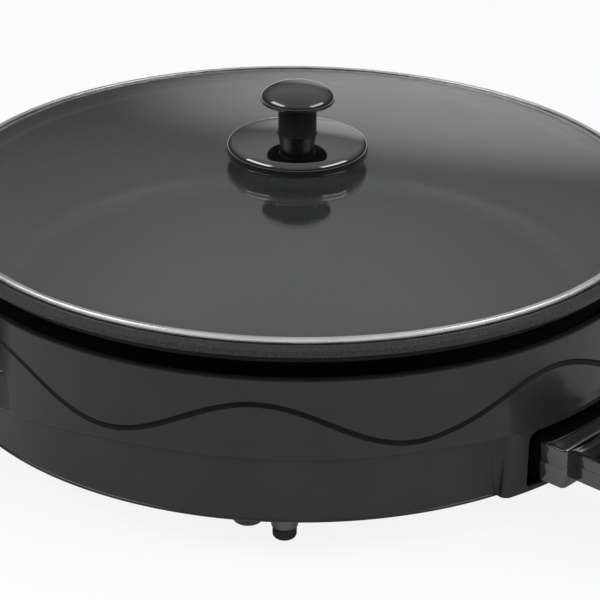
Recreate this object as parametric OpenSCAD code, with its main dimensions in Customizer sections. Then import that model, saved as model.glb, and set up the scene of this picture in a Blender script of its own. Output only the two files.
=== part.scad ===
// Electric skillet: round housing with moulded handles, cast pan, lift-off glass lid and a
// plug-in heat controller. The origin is on the pan's axis, at the surface the feet stand on.
// +Z is up, -Y is the front and +X points to the right handle. Angles run from the front
// towards the right handle.

/* [Lid] */
// Outer diameter of the lid's steel rim
lid_d = 400; // [360:1:440]
// Width of the steel rim's leg under the glass
rim_w = 5; // [4:0.5:8]
// Height of the steel rim's outer face
rim_h = 2.4; // [1.8:0.1:3]
// Sheet thickness of the steel rim
rim_sheet = 0.6; // [0.4:0.1:1]
// Thickness of the glass
glass_t = 3; // [2.5:0.5:5]
// Rise of the glass dome above the rim
dome_rise = 13.6; // [6:0.2:30]
// Gap between the lid and the pan's seat
lid_clear = 0.3; // [0.2:0.1:1]

/* [Lid knob] */
// Diameter of the domed plate under the knob
plate_d = 79.6; // [60:0.2:100]
// Height of the plate's edge, up to its round shoulder
plate_edge = 4; // [3:0.5:8]
// Radius of the plate's round shoulder
plate_round = 4.5; // [2:0.25:8]
// Rise of the plate's dome over its whole radius
plate_rise = 4.8; // [2:0.1:8]
// Height of the plate's edge above the glass
plate_gap = 3.2; // [2:0.2:8]
// Diameter of the spacer boss under the plate
plate_boss_d = 28; // [22:1:40]
// Diameter of the knob's stem
stem_d = 21.4; // [14:0.2:28]
// Length of the stem, up to the underside of the cap
stem_h = 18.5; // [10:0.5:30]
// Diameter of the knob's cap
cap_d = 41.6; // [32:0.2:56]
// Radius of the cap's rounded lower edge
cap_edge = 2; // [1:0.25:4]
// Rise of the cap's dome above its widest place
cap_rise = 8.8; // [4:0.2:14]
// Diameter of the knob's screw
knob_screw_d = 5; // [4:0.5:6]
// Diameter of the hole in the glass
glass_hole_d = 8; // [7:0.5:10]
// Diameter of the washer under the glass
washer_d = 18; // [14:1:24]
// Thickness of the washer
washer_t = 1.5; // [1:0.25:3]

/* [Pan] */
// How far the flange reaches beyond the lid
flange_lip = 6; // [3:0.5:12]
// Height of the flange
flange_h = 4.7; // [3.5:0.1:8]
// Width of the flat seat under the lid's rim
seat_w = 3.5; // [2:0.5:4]
// Depth of the ledge inside the seat
ledge_h = 6; // [4:0.5:10]
// Width of the ledge
ledge_w = 8.5; // [5:0.5:12]
// Height of the pan's underside above the housing's bottom edge
under_h = 23; // [22:0.25:24]
// How far the wall leans in from the ledge to the floor
wall_lean = 12; // [8:0.5:24]
// Radius between the pan's floor and wall
pan_fillet = 14; // [6:1:24]
// Thickness of the pan's wall
pan_wall = 4; // [3:0.25:5]
// Thickness of the pan's floor
pan_floor_t = 5; // [4:0.25:7]
// Diameter of the circle of studs under the pan
stud_ring_d = 150; // [120:1:180]
// Number of studs
stud_count = 3; // [3:1:4]
// Diameter of a stud
stud_d = 6; // [5:0.5:8]
// Diameter of the boss that takes a stud
stud_boss_d = 16; // [14:0.5:22]
// Height of the boss that takes a stud
stud_boss_h = 6; // [4:0.5:7]

/* [Housing] */
// Height of the housing
housing_h = 82; // [78:0.5:90]
// Height of the lower band, up to the step
step_h = 37; // [32:0.5:42]
// How far the upper band stands proud of the lower one
step_out = 2.2; // [1:0.1:4]
// How far the upper band flares outward to its top
band_flare = 1; // [0.4:0.1:4]
// How far the pan's flange overhangs the housing
overhang = 1.9; // [1:0.1:6]
// Height of the open gap between the housing and the flange
flange_gap = 13; // [10:0.5:18]
// Wall thickness of the housing
wall = 3.7; // [3:0.1:5]
// Radius of the bead round the bottom edge
bead_r = 1; // [0.6:0.1:1.6]
// Number of waves in the groove round the upper band
wave_count = 8; // [6:1:10]
// Height of the groove's middle line above the step
wave_mid = 18.5; // [16:0.5:24]
// Height of a wave, from its middle line to its crest
wave_rise = 12.3; // [4:0.1:14]
// Width of the wave groove
groove_w = 2.4; // [1.5:0.1:4]
// Depth of the wave groove
groove_depth = 1.4; // [0.8:0.1:2]
// Diameter of the bosses that take the bottom screws
boss_d = 12; // [10:0.5:14]

/* [Handles] */
// How far a handle stands out from the upper band
ear_out = 45; // [38:1:60]
// Width of a handle at its outer end, before its corners are rounded
ear_tip_w = 128; // [110:1:150]
// Width of a handle at its root, before the fillet
ear_root_w = 168; // [140:1:180]
// Height of a handle
ear_h = 24; // [18:0.5:28]
// How far the handle's underside lies below the step
ear_drop = 10; // [4:0.5:12]
// Radius of a handle's outer corners
ear_corner = 22; // [12:1:28]
// Radius of the fillet between a handle and the band
ear_fillet = 50; // [10:1:60]
// Wall thickness of a handle
ear_wall = 3; // [2.5:0.25:4]
// Width of the finger gap, across the handle
gap_w = 22; // [18:0.5:24]
// Length of the finger gap
gap_len = 96; // [80:1:104]
// Thickness of the web between the finger gap and the band
gap_web = 5.5; // [5:0.5:8]
// Thickness of a handle's cover
cover_t = 2.5; // [2:0.25:3.5]
// Gap round a handle's cover
cover_clear = 0.2; // [0.1:0.05:0.4]
// Angle from a handle's middle to where the step starts to dip
cheek_outer = 66; // [56:1:70]
// Angle from a handle's middle to where the dip ends
cheek_inner = 28; // [26:0.5:32]

/* [Feet] */
// Height of the housing above the surface it stands on
foot_h = 20; // [16:0.5:30]
// Number of feet
foot_count = 4; // [3:1:5]
// Angle of the first foot
foot_az = -18.4; // [-20:0.1:-16]
// Distance of the feet in from the lower band
foot_inset = 20; // [14:0.5:22]
// Diameter of a foot's post
foot_d = 14; // [12:0.5:18]
// Diameter of a foot's rubber pad
pad_d = 12.6; // [10:0.2:14]
// Height of a rubber pad
pad_h = 6.5; // [4:0.5:9]
// Angle from a foot to the bottom screw beside it
screw_step = -5.6; // [-8:0.1:-5.4]
// Distance of the bottom screws in from the lower band
screw_inset = 11.8; // [11.8:0.1:13]
// Diameter of a bottom screw's head
screw_head_d = 16; // [12:0.5:16]
// Height of a bottom screw's head
screw_head_h = 6.6; // [3:0.2:8]
// Thickness of the bottom plate
bottom_t = 1.2; // [0.8:0.1:2]

/* [Heating] */
// Diameter of the heating element's ring
element_ring_d = 230; // [200:1:250]
// Diameter of the heating element's tube
element_d = 8; // [6.5:0.5:9]
// Diameter of a terminal pin
pin_d = 5; // [4:0.25:5.5]
// Distance between the two terminal pins
pin_gap = 28; // [26:0.5:34]
// Outer diameter of the probe's well
well_d = 8; // [7.5:0.25:9]
// Length of the probe's well
well_len = 64; // [50:1:80]
// Gap between the reflector and the heating element
reflector_gap = 4; // [2:0.5:5]
// Thickness of the reflector
reflector_t = 1; // [0.6:0.1:1.5]
// Thickness of the terminal block
block_t = 10; // [8:0.5:14]

/* [Socket] */
// Angle of the socket
socket_az = 30; // [25:1:35]
// Depth from the lower band to the socket's back plate
socket_depth = 14; // [12:0.5:15]
// Width of the socket's opening
opening_w = 85; // [80:1:96]
// Width of the bars beside the opening
shroud_bar = 12.5; // [8:0.5:16]
// How far the shroud's face stands out from the lower band
shroud_out = 6.8; // [5:0.2:9]
// Room above the controller's head in the opening
head_room = 2.8; // [2:0.1:3.2]
// Room below the controller's head in the opening
floor_room = 4; // [2:0.25:4.5]

/* [Controller] */
// Width of the controller's head
head_w = 74; // [68:1:80]
// Height of the controller's head
head_h = 22.5; // [20:0.5:24]
// How far the head stands out from the lower band
head_out = 21.5; // [16:0.5:26]
// Width of the controller's body
body_w = 57; // [52:1:66]
// Height of the controller's body
body_h = 16.5; // [15:0.5:18]
// Length of the body, beyond the head
body_len = 77; // [70:1:100]
// Radius of the body's outer corners
body_corner = 9; // [5:0.5:12]
// Wall thickness of the controller's case
case_wall = 2.2; // [1.8:0.1:2.6]
// Diameter of the probe
probe_d = 6; // [5:0.1:6.4]
// Outer diameter of a contact sleeve
sleeve_d = 8; // [7.5:0.25:9]
// Diameter of the cord's hole in the gland
cord_hole_d = 7; // [5.6:0.2:7.6]
// Outer diameter of the gland's neck
gland_d = 10.4; // [9.6:0.2:11]
// Diameter of the indicator lens
lens_d = 7; // [5:0.5:8]

/* [Dial] */
// Distance from the head to the dial's axis
dial_at = 30; // [26:0.5:34]
// Diameter of the dial's skirt
dial_d = 44; // [36:0.5:50]
// Diameter of the dial's grip
grip_d = 36; // [30:0.5:40]
// Height of the dial
dial_h = 12; // [9:0.5:16]
// Height of the dial's skirt
skirt_h = 3; // [2:0.25:4]
// Number of flutes in the grip
flute_count = 20; // [12:1:28]
// Diameter of the dial's shaft
shaft_d = 6; // [5:0.25:7]

/* [Clearances] */
// Radial gap between a fixed fastener or spigot and its hole
fit_clear = 0.05; // [0.03:0.01:0.1]
// Radial gap of the pieces that slide or turn in each other
run_clear = 0.06; // [0.04:0.01:0.09]
// Gap between tubes and the pan's underside
seat_clear = 0.05; // [0.02:0.01:0.2]
// Gap between the dial and the case
dial_clear = 0.3; // [0.2:0.05:0.6]

/* [Hidden] */
$fn = 96;
eps = 0.01;

// Heights, from the surface up
z_base = foot_h;
z_step = z_base + step_h;
z_top = z_base + housing_h;
z_flange = z_top + flange_gap;
z_seat = z_flange + flange_h;
z_ledge = z_seat - ledge_h;
z_under = z_base + under_h;
z_floor = z_under + pan_floor_t;
z_element = z_under - seat_clear - element_d / 2;
z_socket = z_under - seat_clear - well_d / 2;
z_reflector = z_element - element_d / 2 - reflector_gap;
z_plate = z_base + 0.5;
z_plate_top = z_plate + bottom_t;
z_lid = z_seat + lid_clear;
z_glass = z_lid + rim_sheet;
z_ear = z_step - ear_drop;

// Radii, from the lid inwards and outwards
lid_r = lid_d / 2;
flange_r = lid_r + flange_lip;
seat_r = lid_r - seat_w;
ledge_r = seat_r - ledge_w;
corner_r = ledge_r - wall_lean;
r_top = flange_r - overhang;
r_step = r_top - band_flare;
r_low = r_step - step_out;
r_inside = r_low - wall;
foot_r = r_low - foot_inset;
screw_r = r_low - screw_inset;

// Lean of the pan's wall
wall_angle = atan2(z_ledge - z_floor, wall_lean);
wall_across = pan_wall / sin(wall_angle);

// Screws of the base
bolt_d = screw_head_d / 3;
bolt_len = 2.8 * bolt_d;
foot_screw_d = foot_d * 2 / 7;
foot_screw_len = (z_plate - pad_h) / 2;

// Glass dome
dome_r = lid_r - rim_w;
glass_r = lid_r - rim_sheet - fit_clear;
function dome_top(r) = z_glass + glass_t + dome_rise * (1 - pow(min(r, dome_r) / dome_r, 2));
z_apex = dome_top(0);

// Lid knob
plate_r = plate_d / 2;
z_plate_edge = z_apex + plate_gap;
z_round = z_plate_edge + plate_edge;
round_at = plate_r - plate_round;
round_end = 90 - atan(2 * plate_rise * round_at / pow(plate_r, 2));
dome_edge_r = round_at + plate_round * cos(round_end);
z_dome_edge = z_round + plate_round * sin(round_end);
function plate_top(r) = z_dome_edge + plate_rise * (pow(dome_edge_r, 2) - r * r) / pow(plate_r, 2);
z_stem = plate_top(stem_d / 2);
z_cap = z_stem + stem_h;
knob_bore_depth = stem_h - 2;
z_washer = dome_top(washer_d / 2) - glass_t - washer_t;
knob_head_h = 3;
knob_head_d = knob_screw_d * 1.9;

// Studs, spacers and nuts under the pan
stud_top = z_under - 1;
spacer_d = stud_boss_d - 2;
nut_h = 5;
nut_d = stud_d * 1.75;

// Socket and the pieces behind it, along the socket's own axis
plate_u = r_low - socket_depth;
socket_plate_t = 2.5;
socket_w = opening_w + 2 * shroud_bar;
z_window = z_step - 2.6;
block_u = plate_u - 41;
block_w = pin_gap + 22;
pin_u0 = block_u - 6;
pin_u1 = plate_u - 3;
reflector_r = block_u + block_t + 4;
well_u1 = block_u + block_t + 4;
well_u0 = well_u1 - well_len;
well_end = 2;
z_open0 = z_socket - head_h / 2 - floor_room;
z_open1 = z_socket + head_h / 2 + head_room;

// Controller, along the same axis
head_u0 = plate_u + socket_plate_t + 1;
head_u1 = r_low + head_out;
body_u1 = head_u1 + body_len;
z_head0 = z_socket - head_h / 2;
z_head1 = z_socket + head_h / 2;
z_body0 = z_socket - body_h / 2 - 0.7;
z_body1 = z_body0 + body_h;
z_gland = (z_body0 + z_body1) / 2;
head_corner = 3;
carrier_u0 = head_u0 + case_wall;
carrier_t = 12;
sleeve_u0 = block_u + block_t + 7;
sleeve_bore_d = pin_d + 2 * run_clear;
dial_u = head_u1 + dial_at;
z_dial = z_body1 + dial_clear;
mark_x0 = grip_d * 0.2;
mark_l = grip_d * 0.22;
mark_w = 2;
mark_t = 0.6;
lens_u = body_u1 - 13;
thermostat_l = 34;
thermostat_w = 34;
thermostat_u0 = dial_u - thermostat_l / 2;
z_case_floor = z_body0 + case_wall;
z_thermostat = z_body1 - case_wall - 1.5;
screw_post_d = 8;
case_screw_d = 3;
case_head_d = 6;
case_head_h = 2;
case_screw_at = [for (u = [head_u1 + 5, body_u1 - 8]) for (s = [-1, 1])
    [u, s * (body_w / 2 - case_wall - screw_post_d / 2 + 0.6)]];

// Handles
ear_tip = r_step + ear_out;
gap_x0 = r_step + gap_web;
gap_x1 = gap_x0 + gap_w;
ear_screw_x = (gap_x1 + ear_tip) / 2;
ear_screw_y = gap_len / 3;
ear_screw_d = 3;
ear_screw_len = 3 * ear_screw_d;

// Points on an arc round c, from angle a0 to a1
function arc(c, r, a0, a1, n = 8) =
    [for (i = [0:n]) let (a = a0 + (a1 - a0) * i / n) [c[0] + r * cos(a), c[1] + r * sin(a)]];

// How far the step has dipped at the angle t from a handle's middle
function step_dip(t) = (ear_drop - 0.2)
    * pow(min(1, (cheek_outer - abs(t)) / (cheek_outer - cheek_inner)), 3);

// Radius of the upper band's face at height z
function band_r(z) = r_step + band_flare * (z - z_step) / (z_top - z_step);

// Faces of a tube through rings of k points: joined in a loop, or closed by its end rings
function loop_faces(n, k) = [for (i = [0:n - 1]) for (j = [0:k - 1])
    let (a = i * k + j, b = i * k + (j + 1) % k, c = ((i + 1) % n) * k + j,
        d = ((i + 1) % n) * k + (j + 1) % k) each [[a, b, d], [a, d, c]]];
function open_faces(n, k) = concat(
    [for (i = [0:n - 2]) for (j = [0:k - 1])
        let (a = i * k + j, b = i * k + (j + 1) % k, c = a + k, d = b + k) each [[a, b, d], [a, d, c]]],
    [[for (j = [k - 1:-1:0]) j]], [[for (j = [0:k - 1]) (n - 1) * k + j]]);

// Turns a shape drawn along +X to the angle az round the pan
module turned(az) rotate([0, 0, az - 90]) children();

// Repeats a shape drawn along +X
module ring_of(count, first) for (i = [0:count - 1]) turned(first + i * 360 / count) children();

// A cylinder along +X from x0 to x1
module rod(x0, x1, d) translate([x0, 0, 0]) rotate([0, 90, 0]) cylinder(d = d, h = x1 - x0);

// A flat outline from x0 to x1 with rounded corners
module rounded(x0, x1, w, r) {
    translate([x0 + r, -w / 2]) square([x1 - x0 - 2 * r, w]);
    translate([x0, -w / 2 + r]) square([x1 - x0, w - 2 * r]);
    for (x = [x0 + r, x1 - r], y = [-w / 2 + r, w / 2 - r]) translate([x, y]) circle(r = r);
}

// A wall of the housing, turned round the pan's axis
module housing_shell() {
    edge = 0.9;
    rotate_extrude() polygon(concat(
        [[r_inside, z_base], [r_low, z_base], [r_low, z_step]],
        arc([r_step - edge, z_step + edge], edge, -90, 0, 4),
        arc([r_top - edge, z_top - edge], edge, 0, 90, 4),
        [[r_top - wall, z_top], [r_step - wall, z_step], [r_inside, z_step - 4]]));
    translate([0, 0, z_base + bead_r]) rotate_extrude()
        translate([r_low - bead_r * 0.4, 0]) circle(r = bead_r, $fn = 32);
}

// The wave groove, as one closed band that cuts into the upper band
module wave_groove() {
    steps = wave_count * 20;
    rings = [for (i = [0:steps - 1])
        let (t = 360 * i / steps, p = wave_count * t, z = z_step + wave_mid - wave_rise * cos(p),
            slope = wave_rise * wave_count * sin(p) / r_step, half = groove_w / 2 * sqrt(1 + slope * slope))
        [for (q = [[1, half * 1.3], [1, -half * 1.3],
                [-groove_depth, -half * 0.5], [-groove_depth, half * 0.5]])
            let (r = band_r(z) + q[0]) [r * sin(t), -r * cos(t), z + q[1]]]];
    polyhedron(points = [for (ring = rings) each ring], faces = loop_faces(steps, 4));
}

// The upper band's lower edge dips to a handle's underside on both sides of it
module cheek() {
    steps = 48;
    overlap = 2;
    inner = r_low - 1;
    outer = r_step - 0.05;
    rings = [for (i = [0:steps])
        let (t = cheek_outer * (2 * i / steps - 1), low = z_step - step_dip(t))
        [for (q = [[inner, z_step + overlap], [outer, z_step + overlap], [outer, low], [inner, low]])
            [q[0] * cos(t), q[0] * sin(t), q[1]]]];
    polyhedron(points = [for (ring = rings) each ring], faces = open_faces(steps + 1, 4));
}

// Outline of a handle from above, with its fillets into the band
module ear_outline() {
    root_x = r_low * 0.8;
    root_y = ear_root_w / 2 - ear_corner;
    tip_x = ear_tip - ear_corner;
    tip_y = ear_tip_w / 2 - ear_corner;
    intersection() {
        offset(r = -ear_fillet) offset(r = ear_fillet) {
            circle(r = r_step - 0.6);
            offset(r = ear_corner)
                polygon([[root_x, -root_y], [tip_x, -tip_y], [tip_x, tip_y], [root_x, root_y]]);
        }
        translate([r_step * cos(cheek_inner), -lid_r]) square([lid_r, lid_d]);
    }
}

// The finger gap of a handle
module finger_gap(margin) {
    rounded(gap_x0 - margin, gap_x1 + margin, gap_len + 2 * margin, gap_w / 2 + margin - eps);
}

// The hollow inside a handle, as an outline
module ear_hollow(margin) {
    round_r = 2;
    offset(r = round_r) offset(delta = -round_r) difference() {
        offset(delta = -ear_wall - margin) ear_outline();
        finger_gap(ear_wall + margin);
        circle(r = r_step + ear_wall + margin);
    }
}

// A handle that reaches out along +X
module ear() {
    difference() {
        translate([0, 0, z_ear]) linear_extrude(ear_h) difference() {
            ear_outline();
            circle(r = r_low - 1);
            finger_gap(0);
        }
        translate([0, 0, z_ear - eps]) linear_extrude(ear_h - ear_wall) ear_hollow(0);
    }
    for (s = [-1, 1]) translate([ear_screw_x, s * ear_screw_y, z_ear + cover_t]) difference() {
        cylinder(d = ear_screw_d + 4.5, h = ear_h - cover_t - 1);
        translate([0, 0, -eps]) cylinder(d = ear_screw_d + 2 * fit_clear, h = ear_screw_len + 3);
    }
}

// The gap in the housing's lower band that the socket's frame fills
module socket_window() {
    translate([plate_u - 1, -socket_w / 2, z_base - 2])
        cube([socket_depth + 4, socket_w, z_window - z_base + 2]);
}

// What is cut away for the controller to plug in
module socket_cut() {
    translate([plate_u + socket_plate_t, -opening_w / 2, z_open0])
        cube([socket_depth + 20, opening_w, z_open1 - z_open0]);
    for (s = [-1, 1]) translate([0, s * pin_gap / 2, z_element])
        rod(plate_u - 1, plate_u + 4, sleeve_d + 1.2);
    translate([0, 0, z_socket]) rod(plate_u - 1, plate_u + 4, probe_d + 1.2);
}

module housing() {
    color([0.19, 0.19, 0.2]) {
        difference() {
            union() {
                housing_shell();
                for (az = [90, -90]) turned(az) cheek();
            }
            wave_groove();
            turned(socket_az) socket_window();
        }
        for (az = [90, -90]) turned(az) ear();
        ring_of(foot_count, foot_az + screw_step) difference() {
            union() {
                translate([screw_r, 0, z_plate_top]) cylinder(d = boss_d, h = bolt_len + 4);
                translate([screw_r, -boss_d / 3, z_plate_top])
                    cube([r_low - 1 - screw_r, boss_d * 2 / 3, bolt_len + 4]);
            }
            translate([screw_r, 0, z_plate_top - eps])
                cylinder(d = bolt_d + 2 * fit_clear, h = bolt_len + 1);
        }
    }
}

module socket_frame() {
    inset = 0.4;
    visor = 0.6;
    corner = 4;
    face_r = r_low + shroud_out;
    side = socket_w / 2 - corner;
    mid = sqrt(pow(face_r - corner, 2) - pow(side, 2));
    turn = atan2(side, mid);
    color([0.19, 0.19, 0.2]) difference() {
        translate([0, 0, z_base + inset]) linear_extrude(z_step + visor - z_base - inset)
            polygon(concat([[plate_u, socket_w / 2], [plate_u, -socket_w / 2]],
                arc([mid, -side], corner, -90, -turn), arc([0, 0], face_r, -turn, turn, 32),
                arc([mid, side], corner, turn, 90)));
        translate([0, 0, z_window]) cylinder(r = r_step + 0.2, h = step_h);
        socket_cut();
    }
}

module handle_cover() {
    color([0.15, 0.15, 0.16]) difference() {
        translate([0, 0, z_ear]) linear_extrude(cover_t) ear_hollow(cover_clear);
        for (s = [-1, 1]) translate([ear_screw_x, s * ear_screw_y, z_ear - eps])
            cylinder(d = ear_screw_d + 0.6, h = cover_t + 2 * eps);
    }
}

module handle_cover_left() turned(-90) handle_cover();

module handle_cover_right() turned(90) handle_cover();

module handle_screws() {
    head_h = 1.6;
    color([0.6, 0.6, 0.62]) for (az = [90, -90], s = [-1, 1]) turned(az)
        translate([ear_screw_x, s * ear_screw_y, z_ear - head_h]) {
            cylinder(d = ear_screw_d * 2, h = head_h);
            cylinder(d = ear_screw_d, h = head_h + cover_t + ear_screw_len);
        }
}

module bottom_plate() {
    color([0.5, 0.5, 0.52]) difference() {
        translate([0, 0, z_plate]) cylinder(r = r_inside - 0.3, h = bottom_t);
        translate([0, 0, z_plate - eps]) {
            turned(socket_az) translate([plate_u - 0.3, -lid_r, 0])
                cube([lid_r, lid_d, bottom_t + 2 * eps]);
            ring_of(stud_count, socket_az + 60) translate([stud_ring_d / 2, 0])
                cylinder(d = stud_d + 2 * fit_clear, h = bottom_t + 2 * eps);
            ring_of(foot_count, foot_az) translate([foot_r, 0])
                cylinder(d = foot_screw_d + 0.4, h = bottom_t + 2 * eps);
            ring_of(foot_count, foot_az + screw_step) translate([screw_r, 0])
                cylinder(d = bolt_d + 0.4, h = bottom_t + 2 * eps);
        }
    }
}

module bottom_screws() {
    crown = 2;
    color([0.2, 0.2, 0.21]) ring_of(foot_count, foot_az + screw_step) translate([screw_r, 0, z_plate]) {
        translate([0, 0, -screw_head_h]) rotate_extrude() polygon(concat([[0, 0]],
            arc([screw_head_d / 2 - crown, crown], crown, -90, 0, 5),
            [[screw_head_d / 2, screw_head_h], [0, screw_head_h]]));
        translate([0, 0, -1]) cylinder(d = bolt_d, h = bottom_t + bolt_len);
    }
}

module foot_posts() {
    color([0.16, 0.16, 0.17]) ring_of(foot_count, foot_az) translate([foot_r, 0, 0]) difference() {
        translate([0, 0, pad_h]) cylinder(d = foot_d, h = z_plate - pad_h);
        translate([0, 0, pad_h - eps]) cylinder(d = foot_screw_d + 2 * fit_clear, h = foot_screw_d);
        translate([0, 0, z_plate - foot_screw_len - 1])
            cylinder(d = foot_screw_d + 2 * fit_clear, h = foot_screw_len + 1 + eps);
    }
}

module foot_pads() {
    toe = 2.4;
    peg_r = foot_screw_d / 2;
    peg_h = foot_screw_d * 0.875;
    color([0.1, 0.1, 0.1]) ring_of(foot_count, foot_az) translate([foot_r, 0, 0]) rotate_extrude()
        polygon(concat([[0, 0]], arc([pad_d / 2 - toe, toe], toe, -90, 0, 6),
            [[pad_d / 2, pad_h], [peg_r, pad_h], [peg_r, pad_h + peg_h], [0, pad_h + peg_h]]));
}

module foot_screws() {
    color([0.65, 0.65, 0.67]) ring_of(foot_count, foot_az) translate([foot_r, 0, z_plate_top]) {
        cylinder(d = 2 * foot_screw_d, h = foot_screw_d * 0.625);
        translate([0, 0, -bottom_t - foot_screw_len])
            cylinder(d = foot_screw_d, h = bottom_t + foot_screw_len + 1);
    }
}

module pan() {
    fillet_out = pan_fillet + pan_wall;
    tangent = pan_fillet * tan(wall_angle / 2);
    tangent_out = fillet_out * tan(wall_angle / 2);
    corner_out = corner_r + wall_across - pan_floor_t / tan(wall_angle);
    z_shoulder = z_ledge - pan_wall;
    shoulder_in = ledge_r + wall_across - pan_wall / tan(wall_angle);
    chamfer = [flange_lip * 0.65, flange_h * 0.28];
    color([0.22, 0.22, 0.23]) difference() {
        union() {
            rotate_extrude() polygon(concat([[0, z_under]],
                arc([corner_out - tangent_out, z_under + fillet_out], fillet_out, -90, wall_angle - 90),
                [[shoulder_in, z_shoulder], [seat_r + pan_wall, z_shoulder], [seat_r + pan_wall, z_flange],
                    [flange_r, z_flange], [flange_r, z_seat - chamfer[1]], [flange_r - chamfer[0], z_seat],
                    [seat_r, z_seat], [seat_r, z_ledge], [ledge_r, z_ledge]],
                arc([corner_r - tangent, z_floor + pan_fillet], pan_fillet, wall_angle - 90, -90),
                [[0, z_floor]]));
            ring_of(stud_count, socket_az + 60) translate([stud_ring_d / 2, 0, z_under - stud_boss_h])
                cylinder(d = stud_boss_d, h = stud_boss_h + 1);
        }
        ring_of(stud_count, socket_az + 60) translate([stud_ring_d / 2, 0, z_under - stud_boss_h - 1])
            cylinder(d = stud_d + 2 * fit_clear, h = stud_boss_h);
    }
}

module pan_studs() {
    bottom = z_plate - nut_h - 1.5;
    color([0.7, 0.7, 0.72]) ring_of(stud_count, socket_az + 60) translate([stud_ring_d / 2, 0, bottom])
        cylinder(d = stud_d, h = stud_top - bottom);
}

module stud_spacers() {
    spans = [[z_plate_top, z_reflector - reflector_t], [z_reflector, z_under - stud_boss_h]];
    color([0.72, 0.72, 0.74]) for (span = spans) ring_of(stud_count, socket_az + 60)
        translate([stud_ring_d / 2, 0, span[0]]) difference() {
            cylinder(d = spacer_d, h = span[1] - span[0]);
            translate([0, 0, -eps]) cylinder(d = stud_d + 2 * fit_clear, h = span[1] - span[0] + 2 * eps);
        }
}

module stud_nuts() {
    color([0.75, 0.75, 0.77]) ring_of(stud_count, socket_az + 60)
        translate([stud_ring_d / 2, 0, z_plate - nut_h]) difference() {
            cylinder(d = nut_d, h = nut_h, $fn = 6);
            translate([0, 0, -eps]) cylinder(d = stud_d + 2 * fit_clear, h = nut_h + 2 * eps);
        }
}

module heat_reflector() {
    rim = 3;
    color([0.8, 0.8, 0.82]) difference() {
        rotate_extrude() polygon([[0, z_reflector - reflector_t], [reflector_r, z_reflector - reflector_t],
            [reflector_r + rim, z_reflector - reflector_t + rim], [reflector_r + rim, z_reflector + rim],
            [reflector_r - reflector_t / 2, z_reflector], [0, z_reflector]]);
        ring_of(stud_count, socket_az + 60) translate([stud_ring_d / 2, 0, z_reflector - reflector_t - eps])
            cylinder(d = stud_d + 2 * fit_clear, h = reflector_t + 2 * eps);
    }
}

module heating_element() {
    ring_r = element_ring_d / 2;
    open_angle = asin(pin_gap / 2 / ring_r);
    leg_d = element_d - 0.2;
    color([0.35, 0.33, 0.31]) turned(socket_az) translate([0, 0, z_element]) {
        rotate([0, 0, open_angle]) rotate_extrude(angle = 360 - 2 * open_angle)
            translate([ring_r, 0]) circle(d = element_d, $fn = 48);
        for (s = [-1, 1]) translate([0, s * pin_gap / 2, 0])
            rod(ring_r * cos(open_angle) - element_d / 2 + 0.2, pin_u0, leg_d);
    }
}

module terminal_pins() {
    color([0.78, 0.72, 0.55]) turned(socket_az) for (s = [-1, 1])
        translate([0, s * pin_gap / 2, z_element]) {
            rod(pin_u0, pin_u1 - 1, pin_d);
            translate([pin_u1 - 1, 0, 0]) rotate([0, 90, 0]) cylinder(d1 = pin_d, d2 = pin_d - 2, h = 1);
        }
}

module terminal_block() {
    color([0.86, 0.83, 0.76]) turned(socket_az) difference() {
        translate([block_u, -block_w / 2, z_reflector])
            cube([block_t, block_w, z_under - seat_clear - z_reflector]);
        for (s = [-1, 1]) translate([0, s * pin_gap / 2, z_element])
            rod(block_u - 1, block_u + block_t + 1, pin_d + 2 * fit_clear);
        translate([0, 0, z_socket]) rod(block_u - 1, block_u + block_t + 1, well_d + 2 * fit_clear);
    }
}

module probe_well() {
    color([0.62, 0.62, 0.64]) turned(socket_az) translate([0, 0, z_socket]) difference() {
        rod(well_u0, well_u1, well_d);
        rod(well_u0 + well_end, well_u1 + 1, probe_d + 2 * run_clear);
    }
}

module lid_glass() {
    steps = 20;
    hole = glass_hole_d / 2;
    radii = [for (i = [0:steps]) hole + (dome_r - hole) * i / steps];
    color([0.8, 0.86, 0.86, 0.35]) rotate_extrude() polygon(concat(
        [for (r = radii) [r, dome_top(r)]], [[glass_r, z_glass + glass_t], [glass_r, z_glass]],
        [for (i = [steps:-1:0]) [radii[i], dome_top(radii[i]) - glass_t]]));
}

module lid_rim() {
    color([0.8, 0.8, 0.82]) translate([0, 0, z_lid]) rotate_extrude() polygon(concat(
        [[dome_r, 0]], arc([lid_r - rim_sheet / 2, rim_sheet / 2], rim_sheet / 2, -90, 0, 4),
        arc([lid_r - rim_sheet / 2, rim_h - rim_sheet / 2], rim_sheet / 2, 0, 90, 4),
        [[lid_r - rim_sheet, rim_h], [lid_r - rim_sheet, rim_sheet], [dome_r, rim_sheet]]));
}

module knob_base() {
    lip = 1.4;
    steps = 10;
    bore = knob_screw_d / 2 + fit_clear;
    boss = plate_boss_d / 2;
    color([0.05, 0.05, 0.05]) rotate_extrude() polygon(concat(
        [[bore, z_apex], [boss, z_apex], [boss, z_plate_edge]],
        arc([plate_r - lip, z_plate_edge + lip], lip, -90, 0, 4),
        arc([round_at, z_round], plate_round, 0, round_end, 8),
        [for (i = [1:steps]) let (r = dome_edge_r - (dome_edge_r - stem_d / 2) * i / steps)
            [r, plate_top(r)]],
        [[bore, z_stem]]));
}

module knob() {
    blend = 3;
    steps = 12;
    cap_r = cap_d / 2;
    z_wide = z_cap + cap_edge;
    bore = knob_screw_d / 2 + fit_clear;
    color([0.05, 0.05, 0.05]) rotate_extrude() polygon(concat(
        [[bore, z_stem], [stem_d / 2, z_stem]], arc([stem_d / 2 + blend, z_cap - blend], blend, 180, 90, 5),
        arc([cap_r - cap_edge, z_wide], cap_edge, -90, 0, 5),
        [for (i = [1:steps - 1]) let (a = 90 * i / steps)
            [cap_r * cos(a), z_wide + cap_rise * sin(a)]],
        [[0, z_wide + cap_rise], [0, z_stem + knob_bore_depth], [bore, z_stem + knob_bore_depth]]));
}

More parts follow.
